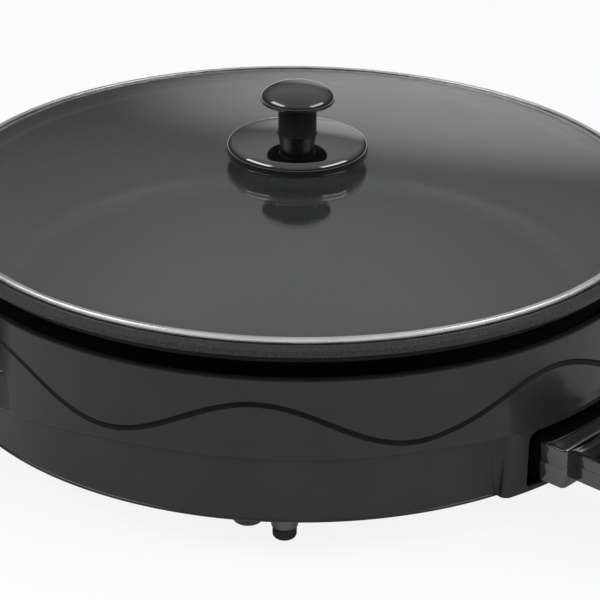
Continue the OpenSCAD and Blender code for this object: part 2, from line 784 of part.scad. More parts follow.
module knob_screw() {
    color([0.7, 0.7, 0.72]) {
        translate([0, 0, z_washer - knob_head_h]) cylinder(d = knob_head_d, h = knob_head_h);
        translate([0, 0, z_washer - 1])
            cylinder(d = knob_screw_d, h = z_stem + knob_bore_depth - 1 - z_washer);
    }
}

module knob_washer() {
    color([0.85, 0.85, 0.83]) translate([0, 0, z_washer]) difference() {
        cylinder(d = washer_d, h = washer_t);
        translate([0, 0, -eps]) cylinder(d = knob_screw_d + 2 * fit_clear, h = washer_t + 2 * eps);
    }
}

// Solid form of the controller's case between two heights of its head and body
module case_form(head0, head1, body0, body1, inset) {
    translate([0, 0, head0]) linear_extrude(head1 - head0)
        rounded(head_u0 + inset, head_u1 - inset, head_w - 2 * inset, head_corner - inset / 2);
    translate([0, 0, body0]) linear_extrude(body1 - body0)
        rounded(head_u1 - head_corner * 2 - inset, body_u1 - inset,
            body_w - 2 * inset, body_corner - inset);
}

// Holes of the case that lie on its seam
module seam_holes() {
    for (s = [-1, 1]) translate([0, s * pin_gap / 2, z_element])
        rod(head_u0 - 1, head_u0 + case_wall + 1, sleeve_d + 2 * fit_clear);
    translate([0, 0, z_socket]) rod(head_u0 - 1, head_u0 + case_wall + 1, probe_d + 2 * fit_clear);
    translate([0, 0, z_gland]) rod(body_u1 - case_wall - 1, body_u1 + 1, gland_d + 2 * fit_clear);
}

module controller_top() {
    color([0.06, 0.06, 0.065]) difference() {
        union() {
            difference() {
                case_form(z_socket, z_head1, z_socket, z_body1, 0);
                case_form(z_socket - 1, z_head1 - case_wall, z_socket - 1, z_body1 - case_wall, case_wall);
            }
            for (p = case_screw_at) translate([p[0], p[1], z_socket])
                cylinder(d = screw_post_d, h = z_body1 - z_socket - 1);
        }
        seam_holes();
        for (p = case_screw_at) translate([p[0], p[1], z_socket - 1])
            cylinder(d = case_screw_d + 2 * fit_clear, h = z_body1 - z_socket - case_wall);
        translate([0, 0, z_body1 - case_wall - 1]) {
            translate([dial_u, 0]) cylinder(d = shaft_d + 2 * run_clear, h = case_wall + 2);
            translate([lens_u, 0]) cylinder(d = lens_d + 2 * fit_clear, h = case_wall + 2);
        }
    }
}

module controller_bottom() {
    color([0.06, 0.06, 0.065]) difference() {
        union() {
            difference() {
                case_form(z_head0, z_socket, z_body0, z_socket, 0);
                case_form(z_head0 + case_wall, z_socket + 1, z_body0 + case_wall, z_socket + 1, case_wall);
            }
            for (p = case_screw_at) translate([p[0], p[1], z_body0 + 1])
                cylinder(d = screw_post_d, h = z_socket - z_body0 - 1);
        }
        seam_holes();
        for (p = case_screw_at) translate([p[0], p[1], z_body0 - 1]) {
            cylinder(d = case_screw_d + 2 * fit_clear, h = body_h);
            cylinder(d = case_head_d + 2 * fit_clear, h = case_head_h + 1.6);
        }
    }
}

module contact_carrier() {
    carrier_w = pin_gap + 16;
    z0 = z_head0 + case_wall;
    color([0.8, 0.78, 0.72]) difference() {
        translate([carrier_u0, -carrier_w / 2, z0]) cube([carrier_t, carrier_w, head_h - 2 * case_wall]);
        for (s = [-1, 1]) translate([0, s * pin_gap / 2, z_element])
            rod(carrier_u0 - 1, carrier_u0 + carrier_t + 1, sleeve_d + 2 * fit_clear);
        translate([0, 0, z_socket])
            rod(carrier_u0 - 1, carrier_u0 + carrier_t + 1, probe_d + 2 * fit_clear);
    }
}

module contact_sleeves() {
    color([0.75, 0.68, 0.5]) for (s = [-1, 1]) translate([0, s * pin_gap / 2, z_element]) difference() {
        rod(sleeve_u0, carrier_u0 + carrier_t, sleeve_d);
        rod(sleeve_u0 - 1, carrier_u0 + carrier_t - 3, sleeve_bore_d);
    }
}

module probe() {
    tip = well_u0 + well_end + 1;
    color([0.7, 0.7, 0.72]) translate([0, 0, z_socket]) {
        rod(tip + 1, carrier_u0 + carrier_t + 8, probe_d);
        translate([tip, 0, 0]) rotate([0, 90, 0]) cylinder(d1 = probe_d - 2, d2 = probe_d, h = 1);
    }
}

module thermostat_block() {
    color([0.55, 0.5, 0.42]) difference() {
        translate([thermostat_u0, -thermostat_w / 2, z_case_floor])
            cube([thermostat_l, thermostat_w, z_thermostat - z_case_floor]);
        translate([dial_u, 0, z_case_floor + 2]) cylinder(d = shaft_d + 2 * run_clear, h = body_h);
    }
}

module indicator_lens() {
    color([0.75, 0.12, 0.08]) translate([lens_u, 0, 0]) {
        translate([0, 0, z_case_floor + 4]) cylinder(d = lens_d, h = z_body1 - z_case_floor - 3.2);
        translate([0, 0, z_body1 - case_wall - 1.2]) cylinder(d = lens_d + 2.4, h = 1.2);
    }
}

module indicator_lamp() {
    color([0.95, 0.75, 0.6]) translate([lens_u, 0, z_case_floor]) cylinder(d = lens_d - 1.5, h = 4);
}

module cord_gland() {
    flange_t = 1.8;
    flange_d = body_h - 2 * case_wall - 0.4;
    collar = 3;
    nose = 9;
    collar_d = gland_d + 3.6;
    bore = cord_hole_d / 2;
    color([0.07, 0.07, 0.07]) translate([body_u1, 0, z_gland]) rotate([0, 90, 0]) rotate_extrude() polygon([
        [bore, -case_wall - flange_t], [flange_d / 2, -case_wall - flange_t], [flange_d / 2, -case_wall],
        [gland_d / 2, -case_wall], [gland_d / 2, 0], [collar_d / 2, 0], [collar_d / 2, collar],
        [collar_d / 2 - 1, collar], [gland_d / 2 - 0.2, collar + nose], [bore, collar + nose]]);
}

module case_screws() {
    color([0.6, 0.6, 0.62]) for (p = case_screw_at) translate([p[0], p[1], z_body0 + 0.6]) {
        cylinder(d = case_head_d, h = case_head_h);
        cylinder(d = case_screw_d, h = body_h - case_wall - 3);
    }
}

module dial() {
    grip = grip_d / 2;
    crown = 1.6;
    flute_d = PI * grip_d / flute_count * 0.6;
    color([0.06, 0.06, 0.065]) translate([dial_u, 0, z_dial]) difference() {
        rotate_extrude() polygon(concat(
            [[0, 0], [dial_d / 2, 0], [dial_d / 2, skirt_h * 0.5], [grip + 1, skirt_h], [grip, skirt_h]],
            arc([grip - crown, dial_h - crown], crown, 0, 90, 5), [[0, dial_h]]));
        for (i = [0:flute_count - 1]) rotate([0, 0, 360 * (i + 0.5) / flute_count])
            translate([grip + flute_d * 0.25, 0, skirt_h]) cylinder(d = flute_d, h = dial_h, $fn = 24);
        translate([0, 0, -eps]) cylinder(d = shaft_d + 2 * fit_clear, h = dial_h - 4);
        translate([mark_x0 - fit_clear, -mark_w / 2 - fit_clear, dial_h - mark_t])
            cube([mark_l + 2 * fit_clear, mark_w + 2 * fit_clear, 1]);
    }
}

module dial_mark() {
    color([0.95, 0.95, 0.95]) translate([dial_u + mark_x0, -mark_w / 2, z_dial + dial_h - mark_t])
        cube([mark_l, mark_w, mark_t + 0.2]);
}

module dial_shaft() {
    bottom = z_case_floor + 2.5;
    color([0.7, 0.7, 0.72]) translate([dial_u, 0, bottom])
        cylinder(d = shaft_d, h = z_dial + dial_h - 4.5 - bottom);
}

housing();
turned(socket_az) socket_frame();
handle_cover_left();
handle_cover_right();
handle_screws();
bottom_plate();
bottom_screws();
foot_posts();
foot_pads();
foot_screws();
pan();
pan_studs();
stud_spacers();
stud_nuts();
heat_reflector();
heating_element();
terminal_pins();
terminal_block();
probe_well();
lid_glass();
lid_rim();
knob_base();
knob();
knob_screw();
knob_washer();
turned(socket_az) controller_top();
turned(socket_az) controller_bottom();
turned(socket_az) contact_carrier();
turned(socket_az) contact_sleeves();
turned(socket_az) probe();
turned(socket_az) thermostat_block();
turned(socket_az) indicator_lens();
turned(socket_az) indicator_lamp();
turned(socket_az) cord_gland();
turned(socket_az) case_screws();
turned(socket_az) dial();
turned(socket_az) dial_mark();
turned(socket_az) dial_shaft();
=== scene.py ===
"""Looks of the electric skillet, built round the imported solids. Lengths are in millimetres."""

import math

import bmesh
import bpy
from mathutils import Matrix, Vector


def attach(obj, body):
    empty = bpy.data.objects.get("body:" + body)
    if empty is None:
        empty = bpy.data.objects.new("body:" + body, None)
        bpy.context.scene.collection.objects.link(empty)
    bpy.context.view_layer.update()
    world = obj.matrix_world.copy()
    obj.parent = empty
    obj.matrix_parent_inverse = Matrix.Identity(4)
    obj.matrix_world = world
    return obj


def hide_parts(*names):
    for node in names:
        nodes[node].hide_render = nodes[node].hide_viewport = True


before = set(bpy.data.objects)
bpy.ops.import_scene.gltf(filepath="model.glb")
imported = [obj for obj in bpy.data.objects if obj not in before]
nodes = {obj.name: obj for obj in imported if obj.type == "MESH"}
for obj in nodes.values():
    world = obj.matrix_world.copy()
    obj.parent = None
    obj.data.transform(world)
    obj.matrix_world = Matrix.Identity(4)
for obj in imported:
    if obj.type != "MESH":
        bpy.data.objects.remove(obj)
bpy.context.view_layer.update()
scene = bpy.context.scene
MM = 0.001
# Edges sharper than this angle, in degrees, stay sharp
SHARP = 35
# A profile's point nearer than this to the axis lies on it
ON_AXIS = 1e-6


def turn(az):
    """Turns a shape drawn along +X to the angle az, from the front towards the right handle."""
    return Matrix.Rotation(math.radians(az - 90), 4, "Z")


def span(name, az=90):
    """Lowest and highest corner of a solid, in a frame whose +X points to the angle az."""
    back = turn(az).inverted()
    points = [back @ v.co / MM for v in nodes[name].data.vertices]
    low = Vector([min(p[i] for p in points) for i in range(3)])
    high = Vector([max(p[i] for p in points) for i in range(3)])
    return low, high


# Angles of the socket, of the first foot and of the first bottom screw
SOCKET_AZ, FOOT_AZ, SCREW_AZ = 30.0, -18.4, -24.0

# Housing: outer sizes from its solid, then the step, the wave groove and the handles
low, high = span("housing")
Z_BASE, Z_TOP, R_TOP, EAR_TIP = low.z, high.z, high.y, high.x
WALL, BEAD_R, EDGE = 3.7, 1.0, 1.0
Z_STEP = Z_BASE + 37
R_STEP = R_TOP - 1
R_LOW = R_STEP - 2.2
WAVES, WAVE_MID, WAVE_RISE, GROOVE_W, GROOVE_DEPTH = 8, Z_STEP + 18.5, 12.3, 2.6, 1.5
EAR_LOW, EAR_TOP, EAR_TIP_W, EAR_ROOT_W = Z_STEP - 10, Z_STEP + 14, 128.0, 168.0
EAR_CORNER, EAR_FILLET, GAP_W, GAP_LEN = 22.0, 50.0, 22.0, 96.0
GAP_X0 = R_STEP + 5.5
EAR_UNDER = EAR_LOW + 0.45
CHEEK_OUTER, CHEEK_INNER, CHEEK_DROP = 66.0, 28.0, 9.8

# Pan, from its flange inwards
low, high = span("pan")
FLANGE_R, Z_SEAT = high.x, high.z
Z_FLANGE = Z_SEAT - 4.7
Z_LEDGE = Z_SEAT - 6
Z_UNDER = Z_BASE + 23
Z_FLOOR = Z_UNDER + 5
SEAT_R, LEDGE_R, CORNER_R, PAN_WALL = 196.5, 188.0, 176.0, 4.0

# Lid and knob
low, high = span("lid_rim")
LID_R, Z_LID, Z_RIM = high.x, low.z, high.z
GLASS_R = span("lid_glass")[1].x
GLASS_T, GLASS_PLAY, DOME_R, GLASS_HOLE_R = 3.0, 0.03, 195.0, 4.0
RIM_SHEET, RIM_LIP, RIM_GAP = 0.6, 2.6, 0.9
# The rim's channel is higher than its solid, so it sinks into a recess of the flange by the difference
RECESS = GLASS_T + 2 * RIM_SHEET - (Z_RIM - Z_LID)
low, high = span("knob_base")
PLATE_R, Z_APEX = high.x, low.z
PLATE_GAP, PLATE_EDGE, PLATE_ROUND, PLATE_RISE, PLATE_BOSS_R = 3.2, 4.0, 4.5, 4.8, 14.0
low, high = span("knob")
CAP_R, Z_STEM, Z_CAP_TOP = high.x, low.z, high.z
STEM_R, STEM_H, CAP_EDGE, KNOB_BORE_R = 10.7, 18.5, 2.0, 2.55
KNOB_BORE_H = STEM_H - 2

# Socket and controller, along the socket's own axis
low, high = span("socket_frame", SOCKET_AZ)
SOCKET_BACK, FACE_R, FRAME_W, FRAME_Z0 = low.x, high.x, high.y - low.y, low.z
FRAME_CORNER, OPENING_W, OPENING_Z0, OPENING_Z1 = 4.0, 85.0, Z_BASE + 3.7, Z_STEP - 1.4
SWELL_FULL, SWELL_END, FILLET_LOW, FILLET_TOP = 14.4, 27.0, 1.6, 8.0
low, high = span("controller_top", SOCKET_AZ)
HEAD_U0, BODY_U1, HEAD_W, Z_SEAM, HEAD_Z1 = low.x, high.x, high.y - low.y, low.z, high.z
HEAD_Z0 = span("controller_bottom", SOCKET_AZ)[0].z
HEAD_U1 = HEAD_U0 + 32
HEAD_CORNER, BODY_CORNER, BODY_OVERLAP = 3.0, 9.0, 6.0
PIN_GAP, PIN_HOLE_R, PROBE_HOLE_R = 28.0, 4.6, 3.6
low, high = span("cord_gland", SOCKET_AZ)
GLAND_Z = (low.z + high.z) / 2
BODY_W, BODY_Z0, BODY_Z1 = 57.0, GLAND_Z - 8.25, GLAND_Z + 8.25
low, high = span("dial", SOCKET_AZ)
DIAL_U, DIAL_R, DIAL_Z, DIAL_H = (low.x + high.x) / 2, (high.y - low.y) / 2, low.z, high.z - low.z
GRIP_R, SKIRT_H, FLUTES, SHAFT_HOLE_R, DIAL_ROOF = 18.0, 3.0, 20, 3.05, 4.0
GRIP_FOOT_R = GRIP_R + 1.2

# Feet and bottom screws
POST_R, PAD_R, SCREW_HEAD_R, BOLT_R = 7.0, 6.3, 8.0, 2.667
low, high = span("foot_posts", FOOT_AZ)
FOOT_R, Z_PAD, Z_PLATE = high.x - POST_R, low.z, high.z
low, high = span("bottom_screws", SCREW_AZ)
SCREW_R, Z_HEAD, Z_BOLT = high.x - SCREW_HEAD_R, low.z, high.z


# Shapes

def arc(cx, cy, r, a0, a1, n=6):
    """Points on an arc, both ends included."""
    turns = [math.radians(a0 + (a1 - a0) * i / n) for i in range(n + 1)]
    return [(cx + r * math.cos(t), cy + r * math.sin(t)) for t in turns]


def softened(points, n=5):
    """A closed path of (x, y, radius) corners, each rounded to its radius where its sides have room."""
    side_share = 0.49
    out = []
    for i, (x, y, r) in enumerate(points):
        if r <= 0:
            out.append((x, y))
            continue
        p = Vector((x, y))
        a = Vector(points[i - 1][:2]) - p
        b = Vector(points[(i + 1) % len(points)][:2]) - p
        half = a.angle(b) / 2
        cut = min(r / math.tan(half), a.length * side_share, b.length * side_share)
        middle = p + (a.normalized() + b.normalized()).normalized() * (cut / math.cos(half))
        start = p + a.normalized() * cut - middle
        sweep = -start.angle_signed(p + b.normalized() * cut - middle)
        first = math.atan2(start.y, start.x)
        out += arc(*middle, start.length, math.degrees(first), math.degrees(first + sweep), n)
    return out


def finish_mesh(name, bm, sharp=SHARP):
    """A new object from a bmesh in millimetres, smooth but for edges sharper than the angle."""
    bmesh.ops.remove_doubles(bm, verts=bm.verts, dist=1e-4)
    bmesh.ops.recalc_face_normals(bm, faces=bm.faces)
    bmesh.ops.scale(bm, vec=(MM, MM, MM), verts=bm.verts)
    mesh = bpy.data.meshes.new(name)
    bm.to_mesh(mesh)
    bm.free()
    mesh.polygons.foreach_set("use_smooth", [True] * len(mesh.polygons))
    mesh.set_sharp_from_angle(angle=math.radians(sharp))
    obj = bpy.data.objects.new(name, mesh)
    scene.collection.objects.link(obj)
    return obj


def solid(name, build, sharp=SHARP):
    """A new object from a function that fills a bmesh."""
    bm = bmesh.new()
    build(bm)
    return finish_mesh(name, bm, sharp)


def skin(bm, rings, closed=False):
    """Faces between rings of equally many vertices. The end rings are closed by a face, or joined."""
    following = rings[1:] + rings[:1] if closed else rings[1:]
    for a, b in zip(rings, following):
        for i in range(len(a)):
            j = (i + 1) % len(a)
            corners = list(dict.fromkeys((a[i], a[j], b[j], b[i])))
            if len(corners) > 2:
                bm.faces.new(corners)
    if not closed:
        bm.faces.new(rings[0][::-1])
        bm.faces.new(rings[-1])


def plain_round(r, z, a):
    """The same radius at every angle."""
    return r


def add_lathe(bm, profile, steps, matrix, radius_at=plain_round):
    """Turns a closed profile of (radius, height) round Z, with the radius that radius_at gives."""
    turns = [2 * math.pi * i / steps for i in range(steps)]
    rings = []
    for r, z in profile:
        if r < ON_AXIS:
            rings.append([bm.verts.new(matrix @ Vector((0, 0, z)))] * steps)
            continue
        ring = []
        for a in turns:
            at = radius_at(r, z, a)
            ring.append(bm.verts.new(matrix @ Vector((at * math.cos(a), at * math.sin(a), z))))
        rings.append(ring)
    skin(bm, rings, closed=True)


def lathe(name, profile, steps=288, places=(Matrix.Identity(4),), sharp=SHARP):
    """A turned piece, repeated at each of the places."""
    bm = bmesh.new()
    for place in places:
        add_lathe(bm, profile, steps, place)
    return finish_mesh(name, bm, sharp)


def inset(loop, d):
    """A smooth counter-clockwise loop moved inwards by d."""
    out = []
    for i, (x, y) in enumerate(loop):
        t = (Vector(loop[(i + 1) % len(loop)]) - Vector(loop[i - 1])).normalized()
        out.append((x - t.y * d, y + t.x * d))
    return out


def add_prism(bm, loop, z0, z1, low_r=0.0, high_r=0.0, matrix=Matrix.Identity(4), n=4):
    """A prism of a counter-clockwise loop with its lower and upper edges rounded."""
    quarter = [math.pi / 2 * k / n for k in range(n + 1)]
    layers = [(low_r * (1 - math.sin(a)), z0 + low_r * (1 - math.cos(a))) for a in quarter]
    layers += [(high_r * (1 - math.cos(a)), z1 - high_r * (1 - math.sin(a))) for a in quarter]
    rings = []
    for d, z in dict.fromkeys(layers):
        rings.append([bm.verts.new(matrix @ Vector((x, y, z))) for x, y in inset(loop, d)])
    skin(bm, rings)


def rounded_box(x0, x1, w, r, n=6):
    """A counter-clockwise outline from x0 to x1, w wide, with round corners."""
    y = w / 2 - r
    return (arc(x1 - r, -y, r, -90, 0, n) + arc(x1 - r, y, r, 0, 90, n)
            + arc(x0 + r, y, r, 90, 180, n) + arc(x0 + r, -y, r, 180, 270, n))


def combined(obj, *others, operation="DIFFERENCE", solver="EXACT"):
    """obj after a boolean with each of the others, which are removed."""
    for other in others:
        m = obj.modifiers.new("boolean", "BOOLEAN")
        m.object, m.operation, m.solver = other, operation, solver
    made = bpy.data.meshes.new_from_object(obj.evaluated_get(bpy.context.evaluated_depsgraph_get()))
    obj.modifiers.clear()
    obj.data = made
    for other in others:
        bpy.data.objects.remove(other)
    made.polygons.foreach_set("use_smooth", [True] * len(made.polygons))
    made.set_sharp_from_angle(angle=math.radians(SHARP))
    return obj


def eased(obj, width, angle=40, segments=3):
    """Rounds the edges sharper than the angle."""
    m = obj.modifiers.new("edges", "BEVEL")
    m.width, m.segments, m.limit_method, m.angle_limit = width * MM, segments, "ANGLE", math.radians(angle)
    m.harden_normals = True
    return obj


# Materials

def wired(tree, operation, *values):
    """A math node fed by sockets or plain numbers."""
    n = tree.nodes.new("ShaderNodeMath")
    n.operation = operation
    for socket, value in zip(n.inputs, values):
        if isinstance(value, (int, float)):
            socket.default_value = value
        else:
            tree.links.new(value, socket)
    return n.outputs[0]


def ranged(tree, fac, start, stop, low, high, curve="LINEAR"):
    """fac from start to stop, as a value from low to high."""
    n = tree.nodes.new("ShaderNodeMapRange")
    n.interpolation_type = curve
    for socket, value in zip(n.inputs[1:5], (start, stop, low, high)):
        socket.default_value = value
    tree.links.new(fac, n.inputs["Value"])
    return n.outputs["Result"]


class Paint:
    """A principled material with short calls to add texture to it."""

    def __init__(self, name, base, rough, **sockets):
        self.material = bpy.data.materials.new(name)
        self.material.use_nodes = True
        self.tree = self.material.node_tree
        self.shader = self.tree.nodes["Principled BSDF"]
        self.shader.inputs["Base Color"].default_value = (*base, 1)
        self.shader.inputs["Roughness"].default_value = rough
        for socket, value in sockets.items():
            self.shader.inputs[socket.replace("_", " ")].default_value = value
        self.place = self.tree.nodes.new("ShaderNodeTexCoord").outputs["Object"]

    def link(self, a, b):
        self.tree.links.new(a, b)

    def noise(self, scale, detail=3.0, stretch=None):
        """Cloudy texture, drawn out along an axis by stretch."""
        n = self.tree.nodes.new("ShaderNodeTexNoise")
        n.inputs["Scale"].default_value, n.inputs["Detail"].default_value = scale, detail
        place = self.place
        if stretch:
            mapping = self.tree.nodes.new("ShaderNodeMapping")
            mapping.inputs["Scale"].default_value = stretch
            self.link(place, mapping.inputs["Vector"])
            place = mapping.outputs["Vector"]
        self.link(place, n.inputs["Vector"])
        return n.outputs["Fac"]

    def spots(self, scale, near, far):
        """Round specks: 1 at the middle of each and 0 outside."""
        n = self.tree.nodes.new("ShaderNodeTexVoronoi")
        n.inputs["Scale"].default_value = scale
        self.link(self.place, n.inputs["Vector"])
        return ranged(self.tree, n.outputs["Distance"], near, far, 1, 0)

    def tint(self, fac, low, high, start=0.35, stop=0.65):
        """Base colour from low to high as fac goes from start to stop."""
        ramp = self.tree.nodes.new("ShaderNodeValToRGB")
        first, last = ramp.color_ramp.elements
        first.position, last.position = start, stop
        first.color, last.color = (*low, 1), (*high, 1)
        self.link(fac, ramp.inputs["Fac"])
        self.link(ramp.outputs["Color"], self.shader.inputs["Base Color"])
        return self

    def vary_rough(self, fac, low, high):
        self.link(ranged(self.tree, fac, 0.3, 0.7, low, high), self.shader.inputs["Roughness"])
        return self

    def bump(self, fac, height, strength):
        n = self.tree.nodes.new("ShaderNodeBump")
        n.inputs["Strength"].default_value, n.inputs["Distance"].default_value = strength, height * MM
        self.link(fac, n.inputs["Height"])
        self.link(n.outputs["Normal"], self.shader.inputs["Normal"])
        return self


def grey(v, warm=0.0):
    return (v * (1 + warm), v, v * (1 - warm))


def plastic(name, low, high, rough, grain=0.01, **sockets):
    """Moulded plastic with a faint cloud in its colour and a fine grain."""
    grain_scale, cloud_scale, spread, strength = 1500, 35, 0.1, 0.25
    p = Paint(name, grey(low), rough, **sockets)
    fine = p.noise(grain_scale)
    p.tint(p.noise(cloud_scale), grey(low), grey(high))
    p.vary_rough(fine, rough * (1 - spread), rough * (1 + spread)).bump(fine, grain, strength)
    return p.material


def metal(name, low, high, rough, stretch, warm=0.0):
    """Brushed metal: the brush lines are a drawn-out cloud."""
    scale, detail, spread, depth, strength = 60, 4.0, 0.25, 0.004, 0.3
    p = Paint(name, grey(high, warm), rough, Metallic=1.0)
    lines = p.noise(scale, detail, stretch)
    p.tint(lines, grey(low, warm), grey(high, warm))
    p.vary_rough(lines, rough * (1 - spread), rough * (1 + spread)).bump(lines, depth, strength)
    return p.material


def speckled_coat():
    """The pan's non-stick coat: dark, with fine light specks."""
    ground, speck = grey(0.034), grey(0.11)
    p = Paint("pan_coat", ground, 0.42, Specular_IOR_Level=0.15)
    p.tint(p.spots(scale=1100, near=0.12, far=0.34), ground, speck, start=0.2, stop=0.9)
    p.vary_rough(p.noise(900), 0.36, 0.5).bump(p.noise(1600, 2.0), height=0.02, strength=0.35)
    return p.material


def tinted_clear(name, low, high, rough, clear):
    """Coloured see-through plastic or glass."""
    p = Paint(name, low, rough, Transmission_Weight=clear)
    p.tint(p.noise(200), low, high)
    return p.material


def lid_pane():
    """Clear glass that lets light through to the pan without caustics."""
    p = Paint("clear_glass", (0.965, 0.985, 0.98), 0.0, Transmission_Weight=1.0, IOR=1.45)
    p.vary_rough(p.noise(18), 0.0, 0.012)
    open_to_light = p.tree.nodes.new("ShaderNodeBsdfTransparent")
    open_to_light.inputs["Color"].default_value = (0.93, 0.95, 0.94, 1)
    path = p.tree.nodes.new("ShaderNodeLightPath")
    mix = p.tree.nodes.new("ShaderNodeMixShader")
    lighting = wired(p.tree, "MAXIMUM", path.outputs["Is Shadow Ray"], path.outputs["Is Diffuse Ray"])
    p.link(lighting, mix.inputs["Fac"])
    p.link(p.shader.outputs[0], mix.inputs[1])
    p.link(open_to_light.outputs[0], mix.inputs[2])
    p.link(mix.outputs[0], p.tree.nodes["Material Output"].inputs["Surface"])
    return p.material


housing_plastic = plastic("housing_plastic", 0.019, 0.023, 0.2, Specular_IOR_Level=0.3)
# Painted shade: darker, duller housing plastic for the groove and for the top edge under the flange
groove_shade = plastic("groove_shade", 0.010, 0.012, 0.6, Specular_IOR_Level=0.12)
black_plastic = plastic("black_plastic", 0.006, 0.009, 0.3, 0.02)
# Painted shade: near black for the shade inside the socket's pocket
socket_painted_shade = plastic("socket_painted_shade", 0.002, 0.003, 0.4, 0.02, Specular_IOR_Level=0.15)
knob_plastic = plastic("knob_plastic", 0.0028, 0.0036, 0.07, 0.002, Specular_IOR_Level=1.0, Coat_Weight=1.0)
cap_plastic = plastic("cap_plastic", 0.006, 0.008, 0.16, 0.004, Specular_IOR_Level=0.8, Coat_Weight=0.5)
# Painted shade: a darker, duller copy of the cap's plastic for the stem in the cap's shade
stem_shaded_plastic = plastic("stem_shaded_plastic", 0.004, 0.006, 0.34, 0.004, Specular_IOR_Level=0.25)
controller_plastic = plastic(
    "controller_plastic", 0.0035, 0.0045, 0.09, 0.002, Specular_IOR_Level=0.8, Coat_Weight=1.0)
ivory_plastic = plastic("ivory_plastic", 0.60, 0.68, 0.5, 0.02)
white_print = plastic("white_print", 0.75, 0.85, 0.45, 0.005)
rubber = plastic("rubber", 0.008, 0.012, 0.6, 0.05)
rim_steel = metal("rim_steel", 0.78, 0.86, 0.3, (1, 1, 30))
plate_steel = metal("plate_steel", 0.36, 0.46, 0.38, (14, 1, 1))
screw_steel = metal("screw_steel", 0.42, 0.52, 0.3, (1, 1, 20))
bare_aluminium = metal("bare_aluminium", 0.55, 0.65, 0.35, (12, 1, 1))
element_sheath = metal("element_sheath", 0.10, 0.16, 0.5, (1, 1, 6), 0.06)
terminal_brass = metal("terminal_brass", 0.45, 0.58, 0.28, (1, 1, 14), 0.22)
pan_coat = speckled_coat()
# Painted shade: the pan's outside under the flange is coloured near black for the shade there
pan_outside_shade = plastic("pan_outside_shade", 0.003, 0.004, 0.6, 0.03, Specular_IOR_Level=0.2)
red_lens = tinted_clear("red_lens", (0.34, 0.010, 0.006), (0.46, 0.014, 0.010), 0.12, 0.35)
lamp_glass = tinted_clear("lamp_glass", (0.85, 0.66, 0.46), (0.92, 0.76, 0.58), 0.2, 0.5)
clear_glass = lid_pane()
# Painted shade: the glass's outer edge, under the rim's lip, is coloured near black for the shade there
glass_edge_shade = plastic("glass_edge_shade", 0.006, 0.009, 0.12, 0.002)


def dress(obj, body, slot, materials, *stands_for):
    """Gives a new piece its materials and body, and hides the solids it stands for. The slot is not used.
    """
    obj.data.materials.clear()
    for material in materials:
        obj.data.materials.append(material)
    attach(obj, body)
    if stands_for:
        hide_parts(*stands_for)
    return obj


def mark(obj, test):
    """Gives the faces whose middle and normal pass the test the piece's second material."""
    for face in obj.data.polygons:
        if test(face.center / MM, face.normal):
            face.material_index = 1


# Housing: one shell with the step that dips towards the handles, and the wave groove

def eased_share(value, start, stop):
    """0 at start and 1 at stop, with a soft begin and end."""
    t = max(0.0, min(1.0, (value - start) / (stop - start)))
    return t * t * (3 - 2 * t)


def apart(az, other):
    """The angle between two directions."""
    return abs((az - other + 180) % 360 - 180)


def swell(az):
    """1 over the socket, where the upper band swells out, and 0 away from it."""
    return 1 - eased_share(apart(az, SOCKET_AZ), SWELL_FULL, SWELL_END)


def step_z(az):
    """Height of the step at an angle from the front: it dips towards the handles."""
    off = min(apart(az, 90), apart(az, -90))
    share = max(0.0, min(1.0, (CHEEK_OUTER - off) / (CHEEK_OUTER - CHEEK_INNER)))
    return Z_STEP - CHEEK_DROP * share ** 3 * (1 - swell(az))


def foot_r(az):
    """Radius of the upper band's lower edge."""
    proud = 0.1
    return R_STEP + (FACE_R + proud - R_STEP) * swell(az)


def band_r(z, az):
    """Radius of the upper band's face."""
    share = max(0.0, (z - Z_STEP) / (Z_TOP - Z_STEP))
    return foot_r(az) + (R_TOP - foot_r(az)) * share


def rows(az, z0, z1, n):
    """Points on the upper band from one height to another."""
    heights = [z0 + (z1 - z0) * k / n for k in range(n + 1)]
    return [(band_r(z, az), z) for z in heights]


def groove_rows(az):
    """The groove's cross-section at one angle: full in its middle, with soft edges."""
    reach, fullness, half_rows = 1.2, 2.6, 8
    phase = math.radians(WAVES * az)
    middle = WAVE_MID - WAVE_RISE * math.cos(phase)
    slope = WAVE_RISE * WAVES * math.sin(phase) / R_STEP
    half = GROOVE_W / 2 * math.hypot(1, slope)
    section = []
    for k in range(-half_rows, half_rows + 1):
        across = reach * k / half_rows
        depth = GROOVE_DEPTH * (1 - min(1.0, abs(across) / reach) ** fullness)
        z = middle + half * across
        section.append((band_r(z, az) - depth, z))
    return section


